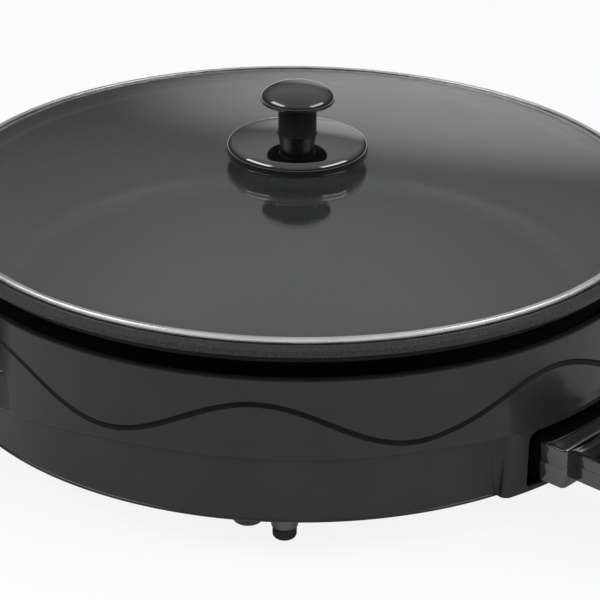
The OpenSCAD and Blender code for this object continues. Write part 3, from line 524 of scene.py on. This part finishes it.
def housing_column(az):
    """The shell's closed profile at one angle, from the inner bottom edge outward and round."""
    low_z = step_z(az)
    step_r = foot_r(az)
    groove = groove_rows(az)
    margin, top_round, top_margin, chamfer, taper = 0.5, 0.9, 1.2, 0.5, 4
    wall_rows, band_rows = 9, 6
    bead_in, bead_h = 0.4 * BEAD_R, 2.3 * BEAD_R
    bead_top, band_foot = Z_BASE + bead_h, low_z + 1.4 * EDGE
    wall_h = low_z - EDGE - bead_top
    p = [(R_LOW - WALL, Z_BASE), (R_LOW - chamfer, Z_BASE)]
    p += arc(R_LOW - bead_in, Z_BASE + BEAD_R, BEAD_R, -80, 66, 5)
    p += [(R_LOW, bead_top + wall_h * k / wall_rows) for k in range(wall_rows + 1)]
    # a small fillet under the step
    p += [(R_LOW + out, low_z - down) for out, down in ((0, 0.35), (0.1, 0.08), (0.4, 0))]
    p += [(step_r - EDGE, low_z)] + arc(step_r - EDGE, low_z + EDGE, EDGE, -70, 0, 4)
    p += rows(az, band_foot, groove[0][1] - margin, band_rows) + groove
    p += rows(az, groove[-1][1] + margin, Z_TOP - top_margin, band_rows)
    p += arc(R_TOP - top_round, Z_TOP - top_round, top_round, 5, 90, 4)
    p += [(R_TOP - WALL + chamfer, Z_TOP), (R_TOP - WALL, Z_TOP - chamfer), (R_STEP - WALL, Z_STEP)]
    return p + [(R_LOW - WALL, Z_STEP - taper)]


def in_socket(p):
    """Whether a point of the socket's own frame lies in the shell's hole, which the frame covers."""
    side, below, above = 4, 1.1, 0.6
    return p.x > 0 and abs(p.y) < OPENING_W / 2 + side and OPENING_Z0 - below < p.z < OPENING_Z1 + above


def housing_shell(bm):
    """All columns joined round the pan, but for the hole behind the socket's frame."""
    steps = 960
    columns = []
    for i in range(steps):
        a = 2 * math.pi * i / steps
        points = housing_column(math.degrees(a))
        columns.append([bm.verts.new((r * math.sin(a), -r * math.cos(a), z)) for r, z in points])
    skin(bm, columns, closed=True)
    back = turn(SOCKET_AZ).inverted()
    middles = {face: back @ face.calc_center_median() for face in bm.faces}
    hole = [f for f, m in middles.items() if in_socket(m)]
    bmesh.ops.delete(bm, geom=hole, context="FACES")


def in_shade(p, normal):
    """Whether a face lies in the groove or on the top edge, under the flange, where the shell gets painted
    shade.
    """
    top_edge, least, slack, margin = 0.8, 0.35, 0.1, 3
    if p.z > Z_TOP - top_edge:
        return True
    sunk = band_r(p.z, math.degrees(math.atan2(p.x, -p.y))) - p.xy.length
    return least < sunk < GROOVE_DEPTH + slack and Z_STEP + margin < p.z < Z_TOP - margin


shell = solid("housing_shell", housing_shell, 40)
dress(shell, "base", "housing", (housing_plastic, groove_shade), "housing")
mark(shell, in_shade)


# Socket: a frame that swells out of the lower band, and a pocket behind its opening, painted near black as
# shade

to_socket = turn(SOCKET_AZ)
along_socket = to_socket @ Matrix(((0, 0, 1, 0), (1, 0, 0, 0), (0, 1, 0, 0), (0, 0, 0, 1)))


def frame_layer(z):
    """Outline of the frame at one height: its face, round corners, and fillets into the band."""
    lip, sunk, behind = 0.8, 0.05, 2.4
    band = R_LOW - sunk
    face = FACE_R - lip * max(0.0, 1 - (z - FRAME_Z0) / lip) ** 2
    fillet = FILLET_LOW + (FILLET_TOP - FILLET_LOW) * min(1.0, (z - FRAME_Z0) / (Z_STEP - FRAME_Z0))
    side = FRAME_W / 2 - FRAME_CORNER
    corner = Vector((math.sqrt((face - FRAME_CORNER) ** 2 - side ** 2), -side))
    # the fillet's middle lies fillet away from the band and from the round corner
    reach, near = band + fillet, FRAME_CORNER + fillet
    along = (corner.length_squared + reach ** 2 - near ** 2) / (2 * corner.length)
    axis = corner.normalized()
    middle = axis * along + Vector((axis.y, -axis.x)) * math.sqrt(reach ** 2 - along ** 2)
    on_band = math.degrees(math.atan2(-middle.y, -middle.x))
    on_corner = math.degrees(math.atan2(corner.y - middle.y, corner.x - middle.x))
    lean = math.degrees(math.atan2(corner.y, corner.x))
    left = arc(*middle, fillet, on_band, on_corner, 8)
    left += arc(*corner, FRAME_CORNER, on_corner - 180, lean, 8)[1:]
    right = [(u, -v) for u, v in reversed(left)]
    end = math.degrees(math.atan2(-middle.y, middle.x))
    back = arc(0, 0, R_LOW - behind, end, -end, 24)
    return left + arc(0, 0, face, lean, -lean, 40)[1:-1] + right + back


def frame_block(bm):
    """The frame, up to just inside the upper band's lower edge."""
    lip_rows, tucked, rows_above = (0, 0.2, 0.5, 0.8), 0.3, 12
    lower = [FRAME_Z0 + d for d in lip_rows]
    rise = Z_STEP + tucked - lower[-1]
    upper = [lower[-1] + rise * k / rows_above for k in range(1, rows_above + 1)]
    rings = []
    for z in lower + upper:
        rings.append([bm.verts.new(to_socket @ Vector((u, v, z))) for u, v in frame_layer(z)])
    skin(bm, rings)


def opening_block(margin):
    """A cutter for the opening, smaller all round by the margin."""
    low_r, high_r, back_wall, past_face = 2, 6, 2.5, 20
    w, z0, z1 = OPENING_W / 2 - margin, OPENING_Z0 + margin, OPENING_Z1 - margin
    loop = softened([(-w, z0, low_r), (w, z0, low_r), (w, z1, high_r), (-w, z1, high_r)], 8)
    return lambda bm: add_prism(bm, loop, SOCKET_BACK + back_wall, FACE_R + past_face, matrix=along_socket)


def pocket_block(bm):
    """The pocket's outside, which stays behind the frame's face."""
    side, below, above, behind = 1.5, 1.2, 0.7, 5.2
    w, z0, z1 = OPENING_W / 2 + side, OPENING_Z0 - below, OPENING_Z1 + above
    loop = [(-w, z0), (w, z0), (w, z1), (-w, z1)]
    add_prism(bm, loop, SOCKET_BACK, FACE_R - behind, matrix=along_socket)


def pocket_holes(bm):
    """Drills for the two contacts and the probe."""
    start, depth = SOCKET_BACK - 5, 12
    for v, r in ((-PIN_GAP / 2, PIN_HOLE_R), (PIN_GAP / 2, PIN_HOLE_R), (0, PROBE_HOLE_R)):
        place = along_socket @ Matrix.Translation((v, Z_SEAM, start))
        add_lathe(bm, [(0, 0), (r, 0), (r, depth), (0, depth)], 48, place)


socket_frame = combined(solid("socket_frame_form", frame_block), solid("cut", opening_block(margin=0)))
dress(eased(socket_frame, width=0.6, angle=55), "base", "housing", (housing_plastic,), "socket_frame")
pocket = combined(
    solid("socket_pocket", pocket_block),
    solid("cut", opening_block(margin=0.3)), solid("cut", pocket_holes))
dress(pocket, "base", "housing", (socket_painted_shade,), "socket_frame")


# Handles: each flows out of the band with a large fillet and has a finger gap through it

def ear_loop():
    """Outline of the right handle, counter-clockwise."""
    sunk, root_share, inside = 0.6, 0.8, 12
    ring = R_STEP - sunk
    root = Vector((R_LOW * root_share, EAR_ROOT_W / 2 - EAR_CORNER))
    tip = Vector((EAR_TIP - EAR_CORNER, EAR_TIP_W / 2 - EAR_CORNER))
    along = (tip - root).normalized()
    normal = Vector((-along.y, along.x))
    # the fillet's middle lies fillet away from the handle's side and from the band
    base = root + normal * (EAR_CORNER + EAR_FILLET)
    b = base.dot(along)
    middle = base + along * (math.sqrt(b * b - base.length_squared + (ring + EAR_FILLET) ** 2) - b)
    on_ring = math.degrees(math.atan2(-middle.y, -middle.x))
    on_side = math.degrees(math.atan2(-normal.y, -normal.x))
    upper = arc(*tip, EAR_CORNER, 0, on_side + 180, 12) + arc(*middle, EAR_FILLET, on_side, on_ring, 16)
    # each end goes on through the wall, to be cut off inside it, so that no thin point shows
    upper.append(tuple(middle.normalized() * (ring - inside)))
    return upper + [(x, -y) for x, y in reversed(upper)]


def ear(bm):
    """The handle before its cuts, with no face of more than four corners."""
    add_prism(bm, ear_loop(), EAR_UNDER, EAR_TOP, low_r=1.6, high_r=3.0, n=5)
    bmesh.ops.triangulate(bm, faces=[f for f in bm.faces if len(f.verts) > 4])


def root_cutter(bm):
    """Takes away what would reach through the housing's wall."""
    within, past = 2, 3
    add_prism(bm, arc(0, 0, R_LOW - within, 0, 360, 192)[:-1], EAR_LOW - past, EAR_TOP + past)


def gap_cutter(bm):
    """The finger gap, flared at both ends so that its edges come out round."""
    high_r, low_r, flare, above, below = 2.4, 2.0, 0.8, 1.5, 1
    corner = GAP_W / 2 - 0.1
    layers = [(high_r + flare, EAR_TOP + above)]
    layers += [(high_r - x, EAR_TOP - high_r - y) for x, y in arc(0, -high_r, high_r, 90, 0, 5)]
    layers += [(low_r - x, EAR_UNDER + low_r - y) for x, y in arc(0, 0, low_r, 0, 90, 5)]
    layers += [(low_r + flare, EAR_LOW - below)]
    rings = []
    for grow, z in layers:
        loop = rounded_box(GAP_X0 - grow, GAP_X0 + GAP_W + grow, GAP_LEN + 2 * grow, corner + grow, 10)
        rings.append([bm.verts.new((x, y, z)) for x, y in loop])
    skin(bm, rings[::-1])


for side, az in (("right", 90), ("left", -90)):
    cuts = solid("gap", gap_cutter), solid("root", root_cutter)
    handle = combined(solid("handle_" + side, ear), *cuts, solver="MANIFOLD")
    handle.data.transform(turn(az))
    dress(handle, "base", "housing", (housing_plastic,))


# Pan: speckled coat inside and on the flange, and painted shade, near black, on its outside under the
# flange

def pan_profile():
    """Half section of the pan, from under its floor outward and round."""
    chamfer_w, chamfer_h = 3.9, 1.32
    recess_r, recess_z = LID_R + RIM_GAP, Z_SEAT - RECESS
    lean = math.atan2(Z_LEDGE - Z_FLOOR, LEDGE_R - CORNER_R)
    across = PAN_WALL / math.sin(lean)
    foot = CORNER_R + across - (Z_FLOOR - Z_UNDER) / math.tan(lean)
    shoulder = LEDGE_R + across - PAN_WALL / math.tan(lean)
    skirt, under_ledge = SEAT_R + PAN_WALL, Z_LEDGE - PAN_WALL
    return softened([
        (0, Z_UNDER, 0), (foot, Z_UNDER, 18), (shoulder, under_ledge, 2), (skirt, under_ledge, 1),
        (skirt, Z_FLANGE, 0.6), (FLANGE_R, Z_FLANGE, 0.7), (FLANGE_R, Z_SEAT - chamfer_h, 0.6),
        (FLANGE_R - chamfer_w, Z_SEAT, 1.0), (recess_r, Z_SEAT, 0.3), (recess_r, recess_z, 0.2),
        (SEAT_R, recess_z, 0.5), (SEAT_R, Z_LEDGE, 1.2), (LEDGE_R, Z_LEDGE, 1.6),
        (CORNER_R, Z_FLOOR, 14), (0, Z_FLOOR, 0),
    ], 20)


def under_flange(p, normal):
    """Whether a face is on the pan's outside, under its flange, where the pan gets painted shade."""
    return p.z < Z_FLANGE + 0.1 and (normal.z < -0.5 or normal.dot(Vector((p.x, p.y, 0))) > 0)


pan = lathe("pan_form", pan_profile())
dress(pan, "base", "pan", (pan_coat, pan_outside_shade), "pan")
mark(pan, under_flange)


# Lid: domed glass held in a steel channel, with its knob

def dome(r):
    """Height of the glass's upper face, which ends just under the rim's lip."""
    flat = Z_RIM - RIM_SHEET - GLASS_PLAY
    return flat + (Z_APEX - flat) * (1 - (min(r, DOME_R) / DOME_R) ** 2)


def glass_profile():
    """Half section of the glass: its upper face outward, its edge, and its lower face back."""
    steps, edge_r, low_r, thick = 60, 0.7, 0.3, GLASS_T - 2 * GLASS_PLAY
    radii = [GLASS_HOLE_R + (DOME_R - GLASS_HOLE_R) * i / steps for i in range(steps + 1)]
    top = [(r, dome(r)) for r in radii]
    flat = dome(DOME_R)
    edge = [(GLASS_R - 2 * edge_r, flat)] + arc(GLASS_R - edge_r, flat - edge_r, edge_r, 90, 0, 5)
    edge += arc(GLASS_R - low_r, flat - thick + low_r, low_r, 0, -90, 3)
    edge += [(GLASS_R - 2 * edge_r, flat - thick)]
    return top + edge + [(r, z - thick) for r, z in reversed(top)]


def rim_profile():
    """The channel round the glass's edge: a leg under it, an outer wall and a lip over it."""
    low, wall, lip = Z_LID - RECESS, LID_R - RIM_SHEET, LID_R - RIM_LIP
    return softened([
        (DOME_R, low, 0.2), (LID_R, low, 0.4), (LID_R, Z_RIM, 0.55), (lip, Z_RIM, 0.25),
        (lip, Z_RIM - RIM_SHEET, 0.1), (wall, Z_RIM - RIM_SHEET, 0), (wall, low + RIM_SHEET, 0),
        (DOME_R, low + RIM_SHEET, 0.1),
    ])


def at_edge(p, normal):
    """Whether a face is on the glass's outer edge, which is painted dark as shade."""
    edge_w = 1.2
    return p.xy.length > GLASS_R - edge_w


glass = lathe("lid_glass_form", glass_profile(), 384, sharp=60)
dress(glass, "lid", "glass", (clear_glass, glass_edge_shade), "lid_glass")
mark(glass, at_edge)
dress(lathe("lid_rim_form", rim_profile(), 384), "lid", "rim_steel", (rim_steel,), "lid_rim")


def plate_profile():
    """The plate under the knob, whose dome meets its round shoulder where both slope alike."""
    lip, steps, tucked, boss_edge, boss_fillet = 1.5, 36, 0.3, 0.6, 0.8
    z0 = Z_APEX + PLATE_GAP
    middle = PLATE_R - PLATE_ROUND
    end = 90 - math.degrees(math.atan(2 * PLATE_RISE * middle / PLATE_R ** 2))
    edge = arc(PLATE_R - lip, z0 + lip, lip, -90, 0, 6)
    shoulder = arc(middle, z0 + PLATE_EDGE, PLATE_ROUND, 0, end, 16)
    r0, z_dome = shoulder[-1]
    crown = []
    for i in range(1, steps + 1):
        r = r0 + (STEM_R - tucked - r0) * i / steps
        crown.append((r, z_dome + PLATE_RISE * (r0 ** 2 - r ** 2) / PLATE_R ** 2))
    boss = [(KNOB_BORE_R, Z_APEX), (PLATE_BOSS_R - boss_edge, Z_APEX), (PLATE_BOSS_R, Z_APEX + boss_edge)]
    boss += [(PLATE_BOSS_R, z0 - boss_fillet), (PLATE_BOSS_R + boss_fillet, z0)]
    return boss + edge + shoulder + crown + [(KNOB_BORE_R, crown[-1][1])]


def knob_profile():
    """Stem with a small foot, and a cap that is one curve from its widest place up."""
    blend, steps, skirt, foot_h = 3.0, 32, 0.5, 0.2
    z_cap = Z_STEM + STEM_H
    z_wide = z_cap + CAP_EDGE
    under = arc(STEM_R + blend, z_cap - blend, blend, 180, 95, 8)
    edge = arc(CAP_R - CAP_EDGE, z_wide, CAP_EDGE, -88, 0, 10)
    crown = []
    for i in range(1, steps):
        a = math.pi / 2 * i / steps
        crown.append((CAP_R * math.cos(a), z_wide + (Z_CAP_TOP - z_wide) * math.sin(a)))
    foot = [(KNOB_BORE_R, Z_STEM), (STEM_R + skirt, Z_STEM), (STEM_R + skirt, Z_STEM + foot_h)]
    foot += arc(STEM_R + skirt, Z_STEM + foot_h + skirt, skirt, -90, -180, 4)
    bore = [(0, Z_CAP_TOP), (0, Z_STEM + KNOB_BORE_H), (KNOB_BORE_R, Z_STEM + KNOB_BORE_H)]
    return foot + under + edge + crown + bore


dress(lathe("knob_base_form", plate_profile(), 192), "lid", "knob_plastic", (knob_plastic,), "knob_base")


def on_stem(p, normal):
    """Whether a face is on the knob's stem, below the cap, which gets the painted shade."""
    below_cap = 1
    return p.z < Z_STEM + STEM_H - below_cap


knob = lathe("knob_form", knob_profile(), 192)
dress(knob, "lid", "knob_plastic", (cap_plastic, stem_shaded_plastic), "knob")
mark(knob, on_stem)


# Controller: two half shells that meet at a seam, head and body in one

def case_half(name, head, body):
    """One half from (low, high, low edge, high edge) of its head and of its body."""
    def head_block(bm):
        add_prism(bm, rounded_box(HEAD_U0, HEAD_U1, HEAD_W, HEAD_CORNER), *head, matrix=to_socket)

    def body_block(bm):
        outline = rounded_box(HEAD_U1 - BODY_OVERLAP, BODY_U1, BODY_W, BODY_CORNER, 8)
        add_prism(bm, outline, *body, matrix=to_socket)

    return combined(solid(name, head_block), solid("add", body_block), operation="UNION")


SEAM, SEAM_EDGE, TOP_EDGE, LOW_EDGE = 0.02, 0.12, 1.5, 0.9
top_half = case_half(
    "controller_top_form", (Z_SEAM + SEAM, HEAD_Z1, SEAM_EDGE, TOP_EDGE),
    (Z_SEAM + SEAM, BODY_Z1, SEAM_EDGE, TOP_EDGE))
low_half = case_half(
    "controller_bottom_form", (HEAD_Z0, Z_SEAM - SEAM, LOW_EDGE, SEAM_EDGE),
    (BODY_Z0, Z_SEAM - SEAM, LOW_EDGE, SEAM_EDGE))
dress(top_half, "controller", "controller_plastic", (controller_plastic,), "controller_top")
dress(low_half, "controller", "controller_plastic", (controller_plastic,), "controller_bottom")


# Dial with a fluted grip, and strokes on its skirt

dial_place = to_socket @ Matrix.Translation((DIAL_U, 0, DIAL_Z))


def fluted(r, z, a):
    """Radius of the dial at the angle a: its grip has flutes cut in, and its skirt is round."""
    above_skirt, rim_w, cut_share, cut_depth = 0.05, 3, 0.6, 0.5
    if z <= SKIRT_H + above_skirt or r <= GRIP_R - rim_w:
        return r
    cut = math.pi * GRIP_R / FLUTES * cut_share
    s = ((a / (2 * math.pi) * FLUTES) % 1 - 0.5) * 2 * math.pi * GRIP_R / FLUTES
    if abs(s) >= cut:
        return r
    return min(r, GRIP_R + cut * cut_depth - math.sqrt(cut * cut - s * s))


def dial_form(bm):
    """The dial: a skirt that slopes out from under a fluted grip, and a blind hole for its shaft."""
    skirt_in, grip_up, shaft_top = 0.4, 0.1, DIAL_H - DIAL_ROOF
    profile = softened([
        (SHAFT_HOLE_R, 0, 0), (DIAL_R - skirt_in, 0, 0.4), (DIAL_R, SKIRT_H / 2, 0.4),
        (GRIP_FOOT_R, SKIRT_H, 0.3), (GRIP_R, SKIRT_H + grip_up, 0), (GRIP_R, DIAL_H, 1.6),
        (0, DIAL_H, 0), (0, shaft_top, 0), (SHAFT_HOLE_R, shaft_top, 0),
    ])
    add_lathe(bm, profile, 400, dial_place, fluted)


def skirt_strokes(bm):
    """Printed strokes on the sloping skirt, long ones at the ends and between."""
    count, sweep, half, thick, proud = 13, 270, 0.35, 0.15, 0.02
    long_start, short_start, end_gap = 0.25, 1.0, 0.5
    inner, outer = GRIP_FOOT_R, DIAL_R
    slope = (SKIRT_H / 2) / (outer - inner)
    for k in range(count):
        place = dial_place @ Matrix.Rotation(math.radians(sweep * (k / (count - 1) - 0.5)), 4, "Z")
        start = inner + (long_start if k % 3 == 0 else short_start)
        end = outer - end_gap
        corners = [(start, -half), (end, -half), (end, half), (start, half)]
        rings = []
        for lift in (proud - thick, proud):
            heights = [SKIRT_H - (r - inner) * slope + lift for r, y in corners]
            rings.append([bm.verts.new(place @ Vector((r, y, z))) for (r, y), z in zip(corners, heights)])
        skin(bm, rings)


dress(solid("dial_form", dial_form, 40), "dial", "controller_plastic", (controller_plastic,), "dial")
dress(solid("dial_strokes", skirt_strokes), "dial", "white_mark", (white_print,))


# Gland at the controller's end, ribbed where a cord would bend

def gland_profile():
    """Half section along the gland's axis, from its catch inside the case to its ribbed end."""
    bore, catch, neck, collar, rib = 3.5, 5.85, 5.2, 7.0, 5.7
    start, catch_end, collar_end, end = -4.0, -2.2, 3.0, 12.0
    gap, pitch, taper, dip, soft = 0.05, 3, 0.25, 0.55, 0.2
    rib_w, valley_start, valley_end = 2.0, 2.1, 2.9
    ribs = []
    for k in range(3):
        x = collar_end + gap + pitch * k
        r = rib - taper * k
        valley = r - dip
        ribs += [(r, x, soft), (r, x + rib_w, soft)]
        ribs += [(valley, x + valley_start, soft), (valley, x + valley_end, soft)]
    return softened([
        (bore, start, 0.3), (catch, start, 0.3), (catch, catch_end, 0), (neck, catch_end, 0), (neck, 0, 0),
        (collar, 0, 0.4), (collar, collar_end, 0.8),
    ] + ribs + [(bore, end, 0.4)], 4)


gland_place = along_socket @ Matrix.Translation((0, GLAND_Z, BODY_U1))
gland = lathe("cord_gland_form", gland_profile(), 72, (gland_place,))
dress(gland, "controller", "rubber", (rubber,), "cord_gland")


# Feet and the screw heads beside them

def round_places(first, radius):
    """Four places round the base, the first at the angle given."""
    return [turn(first + 90 * k) @ Matrix.Translation((radius, 0, 0)) for k in range(4)]


def post_profile():
    """Half section of a foot's post, with a chamfer above the pad."""
    low, chamfer_w, chamfer_h = Z_PAD + 0.1, 0.6, 0.9
    return softened([
        (0, low, 0), (POST_R - chamfer_w, low, 0.2), (POST_R, Z_PAD + chamfer_h, 0.4),
        (POST_R, Z_PLATE, 0), (0, Z_PLATE, 0),
    ])


def pad_profile():
    """Half section of a foot's pad, which ends just under the post."""
    top, chamfer_w, chamfer_h = Z_PAD + 0.05, 0.7, 0.4
    return softened([
        (0, 0, 0), (PAD_R, 0, 2.4), (PAD_R, Z_PAD - chamfer_h, 0.5), (PAD_R - chamfer_w, top, 0.2),
        (0, top, 0),
    ], 6)


def screw_profile():
    """Half section of a screw: a round head and its bolt."""
    return softened([
        (0, Z_HEAD, 0), (SCREW_HEAD_R, Z_HEAD, 2.0), (SCREW_HEAD_R, Z_PLATE, 0), (BOLT_R, Z_PLATE, 0),
        (BOLT_R, Z_BOLT, 0.3), (0, Z_BOLT, 0),
    ], 6)


posts = lathe("foot_posts_form", post_profile(), 64, round_places(FOOT_AZ, FOOT_R))
pads = lathe("foot_pads_form", pad_profile(), 64, round_places(FOOT_AZ, FOOT_R))
screws = lathe("bottom_screws_form", screw_profile(), 64, round_places(SCREW_AZ, SCREW_R))
dress(posts, "base", "black_plastic", (knob_plastic,), "foot_posts")
dress(pads, "base", "rubber", (rubber,), "foot_pads")
dress(screws, "base", "black_plastic", (black_plastic,), "bottom_screws")


# Finishes of the solids, shown or stood for

finishes = {
    housing_plastic: ("housing", "socket_frame"),
    black_plastic: ("handle_cover_left", "handle_cover_right", "bottom_screws", "foot_posts"),
    rubber: ("foot_pads", "cord_gland"),
    screw_steel: ("handle_screws", "foot_screws", "pan_studs", "stud_nuts", "knob_screw", "case_screws"),
    plate_steel: ("bottom_plate", "probe_well", "probe", "dial_shaft"),
    bare_aluminium: ("stud_spacers", "heat_reflector"),
    element_sheath: ("heating_element",),
    terminal_brass: ("terminal_pins", "contact_sleeves"),
    ivory_plastic: ("terminal_block", "knob_washer", "contact_carrier", "thermostat_block"),
    pan_coat: ("pan",),
    clear_glass: ("lid_glass",),
    rim_steel: ("lid_rim",),
    knob_plastic: ("knob_base",),
    cap_plastic: ("knob",),
    controller_plastic: ("controller_top", "controller_bottom", "dial"),
    red_lens: ("indicator_lens",),
    lamp_glass: ("indicator_lamp",),
    white_print: ("dial_mark",),
}
for material, names in finishes.items():
    for name in names:
        nodes[name].data.materials.clear()
        nodes[name].data.materials.append(material)
for name in ("handle_cover_left", "handle_cover_right", "stud_nuts", "terminal_block", "contact_carrier"):
    eased(nodes[name], width=0.4, angle=50, segments=2)


# Floor and light, placed from where the camera stands

VIEW_AZ = -17.0
to_view = turn(VIEW_AZ + 90)


def seen_directly(tree):
    """1 for rays that come from the camera, also through glass, and 0 for the rest."""
    path = tree.nodes.new("ShaderNodeLightPath").outputs
    unmirrored = wired(tree, "LESS_THAN", path["Glossy Depth"], 0.5)
    through = wired(tree, "MULTIPLY", path["Is Transmission Ray"], unmirrored)
    return wired(tree, "MAXIMUM", path["Is Camera Ray"], through)


def pale_floor():
    """A white floor that keeps a faint shadow."""
    seen, mirrored = 0.88, 0.15
    material = bpy.data.materials.new("pale_floor")
    material.use_nodes = True
    tree = material.node_tree
    shader = tree.nodes["Principled BSDF"]
    shader.inputs["Base Color"].default_value = (0.92, 0.92, 0.92, 1)
    shader.inputs["Roughness"].default_value = 0.9
    glow = tree.nodes.new("ShaderNodeEmission")
    glow.inputs["Strength"].default_value = 1.0
    in_gloss = tree.nodes.new("ShaderNodeLightPath").outputs["Is Glossy Ray"]
    share = wired(tree, "MULTIPLY", seen_directly(tree), seen)
    share = wired(tree, "MAXIMUM", share, wired(tree, "MULTIPLY", in_gloss, mirrored))
    mix = tree.nodes.new("ShaderNodeMixShader")
    tree.links.new(share, mix.inputs["Fac"])
    tree.links.new(shader.outputs[0], mix.inputs[1])
    tree.links.new(glow.outputs[0], mix.inputs[2])
    tree.links.new(mix.outputs[0], tree.nodes["Material Output"].inputs["Surface"])
    return material


def studio_world():
    """Soft light from above and a glow low at the back. White where it is seen directly."""
    horizon, overhead, glow = 0.09, 0.6, 0.45
    level_start, level_end = 0.1, 0.8
    right, up = math.radians(6), math.radians(9)
    outer, inner = math.cos(math.radians(14)), math.cos(math.radians(2))
    world = bpy.data.worlds.new("studio")
    world.use_nodes = True
    tree = world.node_tree
    direction = tree.nodes.new("ShaderNodeTexCoord").outputs["Generated"]
    split = tree.nodes.new("ShaderNodeSeparateXYZ")
    tree.links.new(direction, split.inputs[0])
    toward = tree.nodes.new("ShaderNodeVectorMath")
    toward.operation = "DOT_PRODUCT"
    tree.links.new(direction, toward.inputs[0])
    toward.inputs[1].default_value = to_view @ Vector(
        (math.sin(right) * math.cos(up), math.cos(right) * math.cos(up), math.sin(up)))
    level = ranged(tree, split.outputs["Z"], level_start, level_end, horizon, overhead, "SMOOTHSTEP")
    patch = ranged(tree, toward.outputs["Value"], outer, inner, 0, glow, "SMOOTHSTEP")
    level = wired(tree, "ADD", level, patch)
    back = tree.nodes["Background"]
    back.inputs["Color"].default_value = (1, 1, 1, 1)
    tree.links.new(wired(tree, "MAXIMUM", seen_directly(tree), level), back.inputs["Strength"])
    return world


def area(name, place, aim, size, power):
    """A soft light. Its place and aim are as the camera sees them: right, away and up, in metres."""
    data = bpy.data.lights.new(name, "AREA")
    data.shape, data.size, data.size_y, data.energy = "RECTANGLE", *size, power
    obj = bpy.data.objects.new(name, data)
    scene.collection.objects.link(obj)
    place, aim = to_view @ Vector(place), to_view @ Vector(aim)
    obj.location = place
    obj.rotation_euler = (aim - place).to_track_quat("-Z", "Y").to_euler()


FLOOR_SIZE, FLOOR_Z = 12, -0.0005
bpy.ops.mesh.primitive_plane_add(size=FLOOR_SIZE, location=(0, 0, FLOOR_Z))
floor = bpy.context.object
floor.name = "floor"
floor.data.materials.append(pale_floor())
scene.world = studio_world()
LIGHT_AIM, LIGHT_SIZE = (0, 0, 0.1), (1.4, 0.5)
area("key", (-1.35, -0.45, 1.2), LIGHT_AIM, LIGHT_SIZE, power=13)
area("fill", (1.35, -0.55, 1.15), LIGHT_AIM, LIGHT_SIZE, power=11)


# Camera

SENSOR_W = 36.0


def stand_camera(place, pitch, yaw, roll, lens):
    """Looks down by pitch, to the right by yaw and leans by roll, in degrees."""
    data = bpy.data.cameras.new("camera")
    data.sensor_width, data.lens = SENSOR_W, lens
    pitch, yaw, roll = map(math.radians, (pitch, yaw, roll))
    forward = Vector((math.sin(yaw) * math.cos(pitch), math.cos(yaw) * math.cos(pitch), -math.sin(pitch)))
    right = Vector((math.cos(yaw), -math.sin(yaw), 0))
    up = right.cross(forward)
    level, upright = right, up
    right = level * math.cos(roll) + upright * math.sin(roll)
    up = upright * math.cos(roll) - level * math.sin(roll)
    stance = Matrix((right, up, -forward)).transposed().to_4x4()
    stance.translation = Vector(place) * MM
    obj = bpy.data.objects.new("camera", data)
    scene.collection.objects.link(obj)
    obj.matrix_world = to_view @ stance
    return obj


scene.camera = stand_camera(place=(0, -1152.6, 592.2), pitch=25.23, yaw=0.127, roll=0.64, lens=132.0)
scene.view_settings.view_transform = "Standard"
